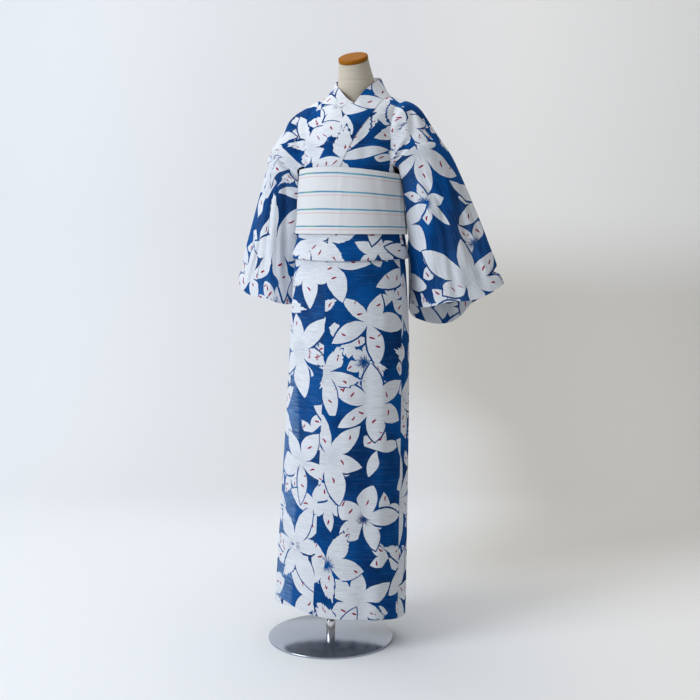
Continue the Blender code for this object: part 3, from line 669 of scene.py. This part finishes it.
def strip(side, anglesOf, across, kinds):  # the two faces of the wall, row by row
    walls = ([], [])
    for kind, t in kinds:
        nominal = float(station(kind, t, np.array(0.0), hemHeight)[0])
        angle = anglesOf(kind, nominal, across)
        height, out, facing, tip = station(kind, t, layerOf(side, angle), hemOf(side, angle))
        if kind in ("down", "tuck", "up"):
            height = height - foldSag * np.exp(-((angle / sagBreadth) ** 2)) * (1 - smooth((height - tuckHeight) / sagReach))
        for held, offset in zip(walls, wallOffsets):
            held.append(onBody(side, angle, height + tip * offset, out + facing * offset))
    return [np.array(held) for held in walls]


def edgedSteps(count, edge=0.012):  # places across a panel, closer at its seams
    inside = np.linspace(edge, 1 - edge, count - 4)
    return np.concatenate([[0, edge / 2], inside, [1 - edge / 2, 1]])


panelSteps = edgedSteps(61)
yokeRise = np.linspace(0, 90, 65)[1:]
yokeCreases = {  # across the panel from its middle edge, and up it in degrees
    (1, "front"): [
        (0.49, 67, 0.87, 31, -4.2, 9), (0.22, 42, 0.73, 10, -3.2, 12), (0.62, 72, 0.97, 52, -3, 10),
        (0.36, 72, 0.56, 26, 2.6, 12), (0.84, 26, 0.98, 2, -4, 8), (0.1, 26, 0.42, 4, -2.2, 9),
    ],
    (-1, "front"): [
        (0.1, 66, 0.15, 42, -3, 4), (0.45, 80, 0.76, 14, -3.2, 11), (0.7, 74, 0.95, 22, -3, 10),
        (0.3, 62, 0.42, 12, 2.4, 10), (0.78, 18, 0.98, 2, -4.8, 8),
    ],
    (1, "back"): [
        (0.3, 74, 0.46, 14, -3, 12), (0.6, 80, 0.86, 10, -3.5, 11), (0.1, 60, 0.16, 8, 2.2, 10), (0.8, 46, 0.97, 16, -3, 9),
    ],
    (-1, "back"): [
        (0.34, 66, 0.42, 10, -3.2, 13), (0.56, 78, 0.8, 22, -3, 10), (0.16, 50, 0.12, 6, 2, 9),
        (0.74, 40, 0.98, 8, -3.4, 10),
    ],
}


armOpenFrom, armOpenOver = 1.145, 0.056  # where the panel's outer edge leaves the side seam for the armhole
okumiTop = 1.046


def bodyPanel(side):
    halves = {}
    for face in ("front", "back"):

        def anglesOf(kind, height, v, face=face):
            opened = smooth((height - armOpenFrom) / armOpenOver) if kind == "up" else 0.0
            if face == "front":
                start = float(innerAngle(height)) if kind == "up" else okumiSeam
                end = mix(sideSeam, frontArmAngle, opened)
            else:
                start, end = 180.0, mix(sideSeam, 180 - frontArmAngle, opened)
            return mix(start, end, v)

        walls = strip(side, anglesOf, panelSteps, stations)
        v, r = np.meshgrid(panelSteps, yokeRise)
        point, normal = panelPoint(side, face, v, r), panelNormal(side, face, v, r)
        angle = mix(180 if face == "back" else 0, 90, v)
        w = mix(layerOf(side, angle), 0.5, smooth((r - 25) / 50))
        push = creases(yokeCreases[side, face], v, r, 0.2, 0.0019)
        push = push * smooth(v / 0.06) * smooth((1 - v) / 0.05) * smooth(r / 8) * smooth((90 - r) / 14)
        out = ((4 + w) * layerPitch + push)[..., None]
        yoke = [point + normal * (out + offset) for offset in wallOffsets]
        halves[face] = [np.concatenate(pair) for pair in zip(walls, yoke)]
    middle = [(halves["front"][k][-1] + halves["back"][k][-1]) / 2 for k in range(2)]
    grids = [np.concatenate([halves["front"][k][:-1], middle[k][None], halves["back"][k][:-1][::-1]]) for k in range(2)]
    return grids, halves


yokeRow = len(stations) - 1
panels = {}
for side, name in ((1, "body_left"), (-1, "body_right")):
    grids, panels[side] = bodyPanel(side)
    shift = (0.37, 0.11) if side > 0 else (1.93, 0.58)
    shell(name + "_cloth", *grids, printed, shift=shift)

okumiRows = [s for s in stations if s[0] != "up" or mix(tuckHeight, yokeHeight, s[1]) < okumiTop]
for side, name in ((1, "okumi_left"), (-1, "okumi_right")):
    steps = edgedSteps(27)
    grids = strip(side, lambda kind, height, v: mix(okumiSeam, okumiEdge, v), steps, okumiRows)
    # painted light: lit-through cloth growing in from the front edge, wider lower down
    onset = np.interp(grids[0][..., 2], [0.1, 0.4, 0.56, 0.75, 0.8], [0.36, 0.39, 0.41, 0.6, 0.92])
    thin = 0.06 + 0.66 * smooth((steps - onset) / 0.09)
    shell(name + "_cloth", *grids, printed, shift=(3.11, 0.83) if side > 0 else (4.27, 0.29), thin=thin)
print("body panels made")

# The collar, one band round the neck

collarTop = table("rise leftWidth rightWidth depth height", [
    (56.25, 24.6, 5, -36, 1365), (67.5, 35.5, 25.4, -22, 1384.5), (78.75, 46.1, 43.7, 0, 1400.5), (90.0, 53, 56, 26, 1413),
    (101.25, 51.5, 53, 56, 1421.5), (112.5, 36, 36, 84, 1428), (123.75, 0, 0, 100, 1432),
])
crossingWidth, crossingHeight = 0.019, 1.3385
crossingRow = 4
collarLowRows = (1.085, 1.1, 1.145)
edgeRows, edgeEvery = 9, 8  # of a panel's edge above the belt, every eighth row


def panelEdge(side, face, coarseRows, last=False):  # the edge, the directions square to the wall, and those off the edge
    outer, inner = panels[side][face]
    rows = yokeRow + np.asarray(coarseRows) * edgeEvery
    column, beside = (-1, -1 - edgeEvery) if last else (0, edgeEvery)
    middle = (outer + inner) / 2
    edge = middle[rows, column]
    return edge, unit(outer[rows, column] - inner[rows, column]), unit(edge - middle[rows, beside])


def frontSurface(side, width, height, out):
    top = along(ridge[side], "height", np.abs(width))
    rise = np.degrees(np.arcsin(np.clip((height - yokeHeight) / (top - yokeHeight), 0, 0.999)))
    step = 1e-3
    point = yokePoint(side, "front", width, rise)
    over = yokePoint(side, "front", width + step, rise) - yokePoint(side, "front", width - step, rise)
    up = yokePoint(side, "front", width, rise + 1) - yokePoint(side, "front", width, rise - 1)
    return point + unit(np.cross(over, up)) * side * out


def collarHalf(side):
    out = (4 + (1 if side > 0 else 0)) * layerPitch
    ease = 0.0006 if side > 0 else -0.001
    across = np.linspace(0, 1, 5)
    rows = []
    for height in collarLowRows:
        wide = float(along(rings, "halfWidth", height)) + out
        seam = collarCentre - (yokeHeight - height) * collarSlope - 0.0005
        angles = np.degrees(np.arcsin((seam - across * (collarWidth + 0.001)) / wide))
        rows.append(onBody(side, angles, height, out + ease * smooth(across * 3)))
    edge, square, off = panelEdge(side, "front", np.arange(edgeRows))
    topHeight = edge[crossingRow][2] - square[crossingRow][2] * out
    for k in range(crossingRow + 1):
        start = edge[k] + off[k] * 0.0007
        startWidth = side * (start[0] - yokeX)
        seamHeight = start[2] - square[k][2] * out
        t = (seamHeight - yokeHeight) / (topHeight - yokeHeight)
        freeHeight = mix(yokeHeight, crossingHeight, t)
        freeWidth = mix(collarCentre - collarWidth - 0.001, side * crossingWidth, t)
        widths, heights = mix(startWidth, freeWidth, across), mix(seamHeight, freeHeight, across)
        outs = out + ease * smooth(across * 3)
        row = np.array([frontSurface(side, a, b, c) for a, b, c in zip(widths, heights, outs)])
        rows.append(row + (start - row[0]) * ((1 - across) ** 2)[:, None])
    backEdge, backSquare, _ = panelEdge(side, "back", np.arange(8, 4, -1))
    points = np.concatenate([edge[crossingRow + 1 :], backEdge[1:4]])
    squares = np.concatenate([square[crossingRow + 1 :], backSquare[1:4]])
    runs = np.gradient(points, axis=0)
    runs[-1] = [-side, 0, 0]
    for k, (point, normal) in enumerate(zip(points, squares)):
        width, depth, height = (collarTop[key][k] for key in ("leftWidth" if side > 0 else "rightWidth", "depth", "height"))
        free = np.array([yokeX + side * width, yokeY + depth, height])
        inward = unit(np.cross(runs[k], normal))
        inward = inward * np.sign(inward @ (free - point))
        lean = abs(float(unit(free - point) @ normal))
        start = point + inward * (0.0008 + 0.0023 * lean) + normal * 0.001 * lean
        if k == len(points) - 1:
            start[0] = yokeX
        rows.append(mix(start[None], free[None], across[:, None]))
    return np.array(rows)


left, right = collarHalf(1), collarHalf(-1)
band = np.concatenate([left[:-1], ((left[-1] + right[-1]) / 2)[None], right[:-1][::-1]])
band = refined(band, 181, 13)
normals = turnedTo(gridNormals(band), band - np.array([yokeX, yokeY + 0.02, 1.275]))
overSeam = unit(band[:, 0] - band[:, 2])
band[:, 0] += overSeam * 0.0028
band = band + normals * (0.0011 * smooth(1 - np.linspace(0, 1, 13) * 4))[:, None]
shell("collar_band", *between(band, normals, collarWall), printed, shift=(6.02, 0.41))
print("collar made")

# The sleeves, open bags that hang from the armholes

frontRim = table("width depth height", [
    (156, 36, 858), (180, 6, 852), (205, -8, 855), (240, -14, 867), (290, -6, 871), (335, 24, 888), (362, 56, 911),
])
backRim = table("width depth height", [
    (156, 88, 816), (180, 102, 806), (205, 110, 804), (225, 112, 811), (242, 112, 826), (262, 110, 851), (300, 102, 876),
    (335, 86, 894), (362, 56, 911),
])
underArm = table("width depth height rimWidth rimDepth rimHeight", [
    (145, -32, 1203, 150, 46, 857), (149, -6, 1188, 146, 56, 852), (146, 30, 1165, 144, 66, 845),
    (135, 53, 1182, 145, 75, 835), (127, 58, 1203, 149, 83, 825),
])
bagFolds = [("front", 0.3, 0.007, 0.16), ("front", 0.66, -0.006, 0.14), ("back", 0.45, 0.008, 0.18)]
rightBackLift = 0.052
bagTop = (edgeRows - 1) / 22  # where the shoulder's ridge comes, as a share of the way round
bagPowers = {1: [(0.45, 0.92), (1.0, 0.92), (1.3, 1.06)], -1: [(0.2, 0.92), (1.0, 0.92), (1.8, 1.06)]}
bagReach = {1: 1.03, -1: 0.965}
bagInward = {1: 0.019, -1: 0.0}
bagCreases = {  # place round the bag from the inner front edge, and down it, at both ends; depth, breadth
    1: [
        (0.01, 0.19, 0.165, 0.42, -4.8, 13), (0.01, 0.24, 0.07, 0.66, -5, 14), (0.05, 0.2, 0.12, 0.56, 3, 18),
        (0.1, 0.5, 0.085, 0.92, 4.5, 26), (0.165, 0.4, 0.18, 1.02, -5, 24), (0.225, 0.25, 0.24, 0.8, 4, 22),
        (0.265, 0.3, 0.3, 0.95, -5, 20), (0.33, 0.14, 0.335, 0.7, -2.6, 14), (0.42, 0.1, 0.44, 1.05, -5, 20),
        (0.5, 0.05, 0.52, 1.1, 4.5, 24), (0.58, 0.1, 0.62, 1.1, -5, 22), (0.66, 0.08, 0.64, 0.9, 4, 20),
        (0.7, 0.12, 0.6, 0.42, -5, 10), (0.71, 0.2, 0.66, 0.62, -4, 12),
    ],
    -1: [
        (0.27, 0.03, 0.07, 0.21, -6, 10), (0.09, 0.2, -0.01, 0.26, -8.5, 8), (0.01, 0.31, 0.2, 0.24, 5.5, 10),
        (0.01, 0.37, 0.24, 0.35, -4.5, 9), (0.045, 0.36, 0.05, 0.9, -4.5, 15), (0.1, 0.44, 0.12, 0.96, 4.2, 21),
        (0.16, 0.46, 0.165, 0.84, -4.6, 18), (0.23, 0.6, 0.27, 0.92, -5.5, 9), (0.22, 0.26, 0.215, 0.66, 3.4, 22),
        (0.31, 0.16, 0.32, 0.8, -4.2, 17), (0.4, 0.12, 0.42, 1.05, -4.5, 20), (0.49, 0.06, 0.5, 1.1, 4.5, 22),
        (0.57, 0.1, 0.6, 1.1, -5, 20), (0.65, 0.1, 0.64, 0.92, 3.8, 18), (0.7, 0.13, 0.59, 0.4, -4.8, 10),
        (0.71, 0.22, 0.65, 0.66, -4.2, 12),
    ],
}
clearing = {"bare": 0.0009, "belt": 0.011, "soft": 0.0025}  # beyond the waist fold, over the belt, how softly it starts
cuffDent = {"depth": 0.014, "down": 0.9, "downBreadth": 0.018, "place": bagTop, "placeBreadth": 0.03}
bagRows, bagColumns = 73, 176


def clearOfBody(grid, side):  # moves out what would lie in the belt or the body
    x, y, height = grid[..., 0], grid[..., 1], grid[..., 2]
    x = side * (x - along(rings, "centreX", height))
    y = along(rings, "centreY", height) - y
    wide, deep = along(rings, "halfWidth", height), along(rings, "halfDepth", height)
    size = np.hypot(x, y)
    surface = 1 / np.hypot(x / size / wide, y / size / deep)
    belted = smooth((height - 1.0) / 0.028) * smooth((1.216 - height) / 0.018)
    free, over = (5 * layerPitch + clearing[key] for key in ("bare", "belt"))
    need = surface + mix(free, over, belted) - size
    push = (need + np.sqrt(need**2 + clearing["soft"] ** 2)) / 2 * smooth((1.262 - height) / 0.04)
    return grid + joined(side * x / size, -y / size, 0) * push[..., None]


def sleeve(side, name, shift):
    parts = []
    for face in ("front", "back"):
        edge, square, off = panelEdge(side, face, np.arange(edgeRows), last=True)
        t = np.linspace(0, 1, edgeRows)
        rim = frontRim if face == "front" else backRim
        width = mix(rim["width"][0], rim["width"][-1], t**0.9)
        depth, height = along(rim, "depth", width), along(rim, "height", width)
        if face == "back" and side < 0:
            height = height + rightBackLift * smooth((0.92 - height) / 0.1)
        inward = bagInward[side] * (1 - smooth(t * 2.5))
        foot = joined(yokeX + side * (bagReach[side] * width - inward), yokeY + depth + 0.3 * inward, height)
        parts.append((edge + off * 0.0003, foot, off * smooth(t * 2.5)[:, None], t))
    at = underArm
    under = joined(yokeX + side * at["width"], yokeY + at["depth"], at["height"])
    underFoot = joined(yokeX + side * (at["rimWidth"] - bagInward[side]), yokeY + at["rimDepth"], at["rimHeight"])
    if side < 0:
        underFoot[:, 2] += rightBackLift * smooth((at["depth"] + 0.05) / 0.1) * 0.6
    front, back = parts
    beneath = (under[::-1], underFoot[::-1], np.zeros_like(under), np.zeros(len(under)))
    top, foot, leave, straight = (np.concatenate([a, b[:-1][::-1], c]) for a, b, c in zip(front, back, beneath))
    drop = foot - top
    leave = leave * np.linalg.norm(drop, axis=1, keepdims=True) - drop * np.linalg.norm(leave, axis=1, keepdims=True)
    grid = []
    for s in np.linspace(0, 1, 10):
        powers = np.stack([mix(a, b, smooth(straight * 1.6)) for a, b in bagPowers[side]], axis=-1)
        row = mix(top, foot, s**powers)
        for face, place, deep, breadth in bagFolds:
            reach = np.exp(-(((front[3] - place) / breadth) ** 2))
            reach[-1] = 0
            push = np.zeros(len(row))
            if face == "front":
                push[:edgeRows] = -reach * deep
            else:
                push[edgeRows : 2 * edgeRows - 1] = (reach * deep)[:-1][::-1]
            row[:, 1] += push * smooth(s * 1.1)
        grid.append(row)
    grid = refined(np.array(grid), bagRows, bagColumns, tube=True)
    inside = grid.mean(axis=1, keepdims=True)
    normals = turnedTo(gridNormals(grid, tube=True), grid - inside)
    s, place = np.meshgrid(np.linspace(0, 1, bagRows), np.arange(bagColumns) / bagColumns, indexing="ij")
    push = creases(bagCreases[side], place, s, 1.15, 0.42, closed=True)
    leave = refined(np.array([leave, leave]), 2, bagColumns, tube=True)[0]
    grid = grid + normals * (push * smooth(s / 0.08))[..., None] + leave * (s * np.exp(-s / 0.07))[..., None]
    apart = ((s - cuffDent["down"]) / cuffDent["downBreadth"]) ** 2
    dent = cuffDent["depth"] * np.exp(-apart - ((place - cuffDent["place"]) / cuffDent["placeBreadth"]) ** 2)
    grid = grid + unit(inside - grid) * dent[..., None]
    grid = mix(grid, clearOfBody(grid, side), smooth(s / 0.04)[..., None])
    walls = between(grid, turnedTo(gridNormals(grid, tube=True), normals), clothWall)
    # a little painted light shining through the sheer sleeve cloth, varying round the bag
    thin = 0.06 + 0.06 * np.sin(17 * place + 5 * s)
    shell(name, *walls, printed, tube=True, anchor=bagTop, shift=shift, turn=True, thin=thin)


sleeve(1, "sleeve_left_cloth", (8.47, 1.31))
sleeve(-1, "sleeve_right_cloth", (7.6, 0.2))
print("sleeves made")

# The belt, wound twice round, with a plain bow behind

obiInside = 5 * layerPitch + collarWall / 2 + 0.001
obiPitch, obiTurns, obiStart = 0.0028, 2.0, 170.0
turns = obiStart - np.linspace(0, 360 * obiTurns, 481)
levels = np.linspace(0, 1, 17)
a, t = np.meshgrid(turns, levels)
radians = np.radians(a)
heights = mix(obiBottom, obiTop - 0.01 * np.sin(radians) ** 2 - 0.006 * np.sin(radians), t)
obiCreases = [  # degrees from the front and down the belt, at both ends; depth, breadth
    (1.0, 0.05, -1.5, 0.98, -0.7, 2.2), (6.0, 0.0, 4.0, 1.0, 0.6, 4), (13.5, 0.02, 12.0, 0.7, -0.5, 2.6),
    (79.0, -0.1, 84.0, 1.1, -2.2, 5), (72.0, 0.1, 77.0, 0.9, 1.6, 6), (-58.0, 0.3, -64.0, 1.1, 1.2, 6),
    (38.0, 0.0, 52.0, 0.9, -0.8, 10),
]
facing = (a + 180) % 360 - 180
out = obiInside + obiWall / 2 + obiPitch * (obiStart - a) / 360 + creases(obiCreases, facing, 1 - t, 0.0023, 0.164) * smooth(
    (obiStart - a - 110) / 120
)
rounded = obiWall / 2 * np.minimum(1, 0.35 + 9 * np.minimum(t, 1 - t))
grid = [onBody(1, a, heights, out + rounded), onBody(1, a, heights, out - rounded)]
run = lengths((grid[0] + grid[1]) / 2, 1)
shell("obi_belt", *grid, belting, coords=np.stack([run, 1 - t], axis=-1))


def bandRings(name, rows, wall):
    turn = np.arange(24) * math.tau / 24
    ovals = [[] for _ in range(2)]
    for held, grow in zip(ovals, (0, -wall)):
        for x, y, z, high, deep in rows:
            up = z + (high + grow) * np.sign(np.cos(turn)) * np.abs(np.cos(turn)) ** 0.8
            held.append(joined(x, y + (deep + grow) * np.sin(turn), up))
    outer, inner = (refined(np.array(held), len(rows) * 8, 96, tube=True) for held in ovals)
    down = np.concatenate([outer, outer[:, :1]], axis=1)
    down = (down[..., 2].max() - down[..., 2]) / (down[..., 2].max() - down[..., 2].min())
    aside = np.concatenate([outer[..., 0], outer[:, :1, 0]], axis=1)
    shell(name, outer, inner, belting, tube=True, coords=np.stack([aside, down], axis=-1))


knotLevel, knotZ, knotOut = 1.115, 1.122, 0.0158
knotX = float(along(rings, "centreX", knotLevel))
knotY = float(along(rings, "centreY", knotLevel) + along(rings, "halfDepth", knotLevel))
knotY += obiInside + obiWall + 2 * obiPitch + knotOut
bow = [
    (-0.118, 0.016, 0.05, 0.013), (-0.085, 0.014, 0.052, 0.015), (-0.05, 0.008, 0.042, 0.014),
    (-0.024, 0.001, 0.028, 0.0095), (0.0, 0.0, 0.025, 0.009), (0.024, 0.001, 0.028, 0.0095), (0.05, 0.008, 0.042, 0.014),
    (0.085, 0.014, 0.052, 0.015), (0.118, 0.016, 0.05, 0.013),
]
bandRings("obi_bow_loops", [(knotX + x, knotY + y, knotZ, high, deep) for x, y, high, deep in bow], obiWall)
knot = [(-0.022, 0.0, 0.0335, 0.015), (0.0, 0.0, 0.0345, 0.0153), (0.022, 0.0, 0.0335, 0.015)]
bandRings("obi_knot_wrap", [(knotX + x, knotY + y, knotZ, high, deep) for x, y, high, deep in knot], obiWall)
print("belt made")

# The form and its stand

torso = table("height centreX centreY halfWidth halfDepth tilt", [
    (680, 37.5, 38, 98, 72, 0), (687, 37.5, 38, 114, 86, 0), (705, 38, 39, 126, 97, 0), (775, 39, 42, 136, 104, 0),
    (845, 39.5, 44, 137, 105, 0), (915, 40.5, 47, 129, 99, 0), (975, 41, 49, 119, 91, 0), (1035, 42, 51, 110, 82.5, 0),
    (1115, 43, 53, 109, 82, 0), (1195, 44, 55, 110, 83.5, 0), (1245, 44, 57, 120, 83, 0), (1283, 44, 61, 132, 74, 0),
    (1309, 44, 66, 137, 60, 0), (1325, 44, 72, 127, 50, 0), (1338, 44, 78, 102, 47, 0), (1350, 44, 82, 74, 46, 0),
    (1367, 44, 84, 54, 46, 2), (1387, 44.2, 79, 50.5, 45, 6), (1413, 44, 70, 45.5, 43, 13), (1437, 44, 60, 40.5, 39.5, 20),
    (1460, 44, 51, 36.8, 36.8, 26),
])


def turned(name, ringsOf, finish, sharp=35):
    ringsOf = np.asarray(ringsOf)
    rows, columns = ringsOf.shape[:2]
    pairs = [(c, (c + 1) % columns) for c in range(columns)]
    starts = range(0, (rows - 1) * columns, columns)
    faces = [[r + c, r + d, r + columns + d, r + columns + c] for r in starts for c, d in pairs]
    faces.append(list(range(columns))[::-1])
    faces.append([(rows - 1) * columns + c for c in range(columns)])
    meshPiece(name, ringsOf.reshape(-1, 3), faces, finish, sharp=sharp)


def roundRings(profile, sides):
    turn = np.arange(sides) * math.tau / sides
    return [joined(r * np.sin(turn), -r * np.cos(turn), z) for r, z in profile]


def tiltedRing(height, sides):
    turn = np.arange(sides) * math.tau / sides
    x, y, wide, deep, lean = (float(along(torso, name, height)) for name in list(torso)[1:])
    back = -deep * np.cos(turn)
    lean = math.radians(lean)
    return joined(x + wide * np.sin(turn), y + back * math.cos(lean), height + back * math.sin(lean))


formHeights = np.interp(np.linspace(0, 20, 101), np.arange(21), torso["height"])
turned("form_linen_torso", [tiltedRing(h, 96) for h in formHeights], linen)

capTilt = math.radians(26)
capBase = np.array([0.044, 0.051, 1.46])
capUp = np.array([0.0, -math.sin(capTilt), math.cos(capTilt)])
capAcross = np.array([0.0, math.cos(capTilt), math.sin(capTilt)])
capProfile = [(0.0345, 0.0004), (0.0362, 0.001), (0.037, 0.0024), (0.0371, 0.0056), (0.037, 0.0086), (0.0364, 0.01)]
capProfile += [(0.035, 0.0109), (0.033, 0.0113), (0.018, 0.0114)]
turn = np.arange(96) * math.tau / 96
capRings = [
    capBase + capUp * lift + np.outer(np.sin(turn), [radius, 0, 0]) - np.outer(np.cos(turn), capAcross) * radius
    for radius, lift in capProfile
]
turned("neck_cap_wood", capRings, wood)
plateProfile = [(0.1585, 0.0), (0.1594, 0.0004), (0.16, 0.0014), (0.16, 0.0036), (0.1594, 0.0046), (0.1585, 0.005)]
turned("base_plate_steel", roundRings(plateProfile, 160), steel)
socketProfile = [(0.012, 0.005), (0.012, 0.0425), (0.0116, 0.044), (0.0106, 0.045), (0.0087, 0.0451)]
turned("pole_socket_chrome", roundRings(socketProfile, 64), chrome)
turned("pole_tube_chrome", roundRings([(0.0085, 0.045), (0.0085, 0.681)], 48), chrome)
print("form and stand made")

# What stands for what, and the sheets of cloth

standsFor = {  # node, slot; for cloth the flat width, length and area of what shows, how it is held and what is under it
    "body_left_cloth": ("body_left", "printed_cotton", 0.273, 3.176, 0.647, "draped", "form_linen_torso"),
    "body_right_cloth": ("body_right", "printed_cotton", 0.268, 3.156, 0.634, "draped", "form_linen_torso"),
    "okumi_left_cloth": ("okumi_left", "printed_cotton", 0.162, 1.149, 0.165, "draped", "okumi_right_cloth"),
    "okumi_right_cloth": ("okumi_right", "printed_cotton", 0.162, 1.136, 0.1615, "draped", "body_left_cloth"),
    "collar_band": ("collar", "printed_cotton", 0.092, 1.043, 0.0624, "draped", "body_left_cloth"),
    "sleeve_left_cloth": ("sleeve_left", "printed_cotton", 0.661, 0.447, 0.195, "hung", "body_left_cloth"),
    "sleeve_right_cloth": ("sleeve_right", "printed_cotton", 0.578, 0.417, 0.168, "hung", "body_right_cloth"),
    "obi_belt": ("obi", "obi_cotton", 0.163, 1.605, 0.245, "stretched", "body_left_cloth"),
    "obi_bow_loops": ("obi_bow", "obi_cotton", 0.224, 0.25, 0.043, "folded", "obi_belt"),
    "obi_knot_wrap": ("obi_knot", "obi_cotton", 0.158, 0.044, 0.0069, "folded", "obi_belt"),
    "form_linen_torso": ("form_torso", "form_linen"),
    "neck_cap_wood": ("neck_cap", "cap_wood"),
    "base_plate_steel": ("base_plate", "base_steel"),
    "pole_socket_chrome": ("pole_socket", "pole_chrome"),
    "pole_tube_chrome": ("pole", "pole_chrome"),
}
for name, (node, slotName, *_) in standsFor.items():
    piece = bpy.data.objects[name]
    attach(piece, "root")
    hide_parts(node)

# The floor, the light and the camera

studio = {
    "floor": colourOf("EFF2F6"),
    # painted shade, darker in the middle of the backdrop
    "paintedMiddleShade": colourOf("E6E7E9"),
    # painted shade, the floor darker towards the front
    "paintedNearShade": colourOf("E6E9EC"),
    # painted shadow colour, for the patch right of the form
    "paintedShadowRight": colourOf("D0CDC6"),
    # painted light, the paper lighter towards the right
    "paintedLightFar": colourOf("FAF8F5"),
    "sky": colourOf("EAEBEC"),
    "skyStrength": 0.41,
    "key": (-3.3, -1.9, 2.2, 2.2, 109.0, "F0F6FF"),
    "top": (-0.5, 0.2, 3.9, 3.2, 60.0, "FFFDFA"),
}

sensor = 36.0
camera = {"distance": 2.776, "aside": 0.05, "height": 1.03, "down": 5.9, "turn": 20.0, "lens": 1110 / 700 * sensor}
azimuth = math.radians(camera["turn"])
right = np.array([math.cos(azimuth), math.sin(azimuth), 0])
forward = np.array([-math.sin(azimuth), math.cos(azimuth), 0])

floorMesh = bpy.data.meshes.new("studio_floor")
bendFrom, bendSize = 1.6, 1.1  # the paper runs flat, then up in a quarter circle
bent = [(bendFrom + bendSize * math.sin(a), bendSize - bendSize * math.cos(a)) for a in np.radians(np.arange(6, 91, 6))]
profile = [(-3.2, 0.0), (bendFrom, 0.0), *bent, (2.7, 5.0)]
floorPoints = [(x, y, z) for y, z in profile for x in (-5.0, 5.0)]
floorFaces = [(2 * k, 2 * k + 1, 2 * k + 3, 2 * k + 2) for k in range(len(profile) - 1)]
floorMesh.from_pydata(floorPoints, [], floorFaces)
floorMesh.shade_smooth()
paper = Finish("studio_paper", Roughness=0.95, Specular_IOR_Level=0.1)
x, y, z = paper.spot().parts()
run = y + z
# painted shade: the paper darkened in the middle of the backdrop behind the form
middle = paper.eased(x, -1.5, -0.2) * paper.eased(run, 0.8, 2.0) * paper.eased(x, 1.3, 0.5)
# painted shadow: a soft darker, warmer patch on the backdrop and floor right of the form, where its shadow falls
bulge = paper.eased(run, 0.6, 1.5) * paper.eased(run, 2.9, 2.2) * 0.3
paintedShadow = paper.eased(x - bulge, -0.05, 0.62) * paper.eased(run - x * 0.45, -0.15, 0.55) * paper.eased(run, 3.9, 3.3)
paintedShadow = paintedShadow * (1 - paper.eased(x, 0.7, 1.5) * 0.25)
# painted shade: the floor darker towards the front
shade = paper.mixed(paper.eased(run, 1.4, -0.3), studio["floor"], studio["paintedNearShade"])
shade = paper.mixed(middle, shade, studio["paintedMiddleShade"])
# painted light: the paper lighter towards the right, away from the painted shadow
shade = paper.mixed(paper.eased(x, 0.1, 0.95) * 0.75, shade, studio["paintedLightFar"])
floorMesh.materials.append(paper.wear(Base_Color=paper.mixed(paintedShadow, shade, studio["paintedShadowRight"])))
floor = placed("studio_floor", floorMesh)
floor.rotation_euler = (0, 0, azimuth)

scene = bpy.context.scene
world = bpy.data.worlds.new("studio_light")
scene.world = world
world.use_nodes = True
world.node_tree.nodes["Background"].inputs["Color"].default_value = (*studio["sky"], 1)
world.node_tree.nodes["Background"].inputs["Strength"].default_value = studio["skyStrength"]
scene.view_settings.view_transform = "Standard"


def softLight(name, x, y, z, size, power, tint):
    lamp = bpy.data.lights.new(name, "AREA")
    lamp.shape, lamp.size, lamp.energy, lamp.color = "DISK", size, power, colourOf(tint)
    made = placed(name, lamp)
    made.location = (x, y, z)
    made.rotation_euler = (Vector((0.03, 0.04, 0.85)) - made.location).to_track_quat("-Z", "Y").to_euler()


for name in ("key", "top"):
    x, y, *rest = studio[name]
    softLight("studio_" + name, *(right * x + forward * y)[:2], *rest)
lensData = bpy.data.cameras.new("photo_camera")
lensData.sensor_width, lensData.lens = sensor, camera["lens"]
made = placed("photo_camera", lensData)
made.location = -forward * camera["distance"] + right * camera["aside"] + np.array([0, 0, camera["height"]])
made.rotation_euler = (math.radians(90 - camera["down"]), 0, azimuth)
scene.camera = made
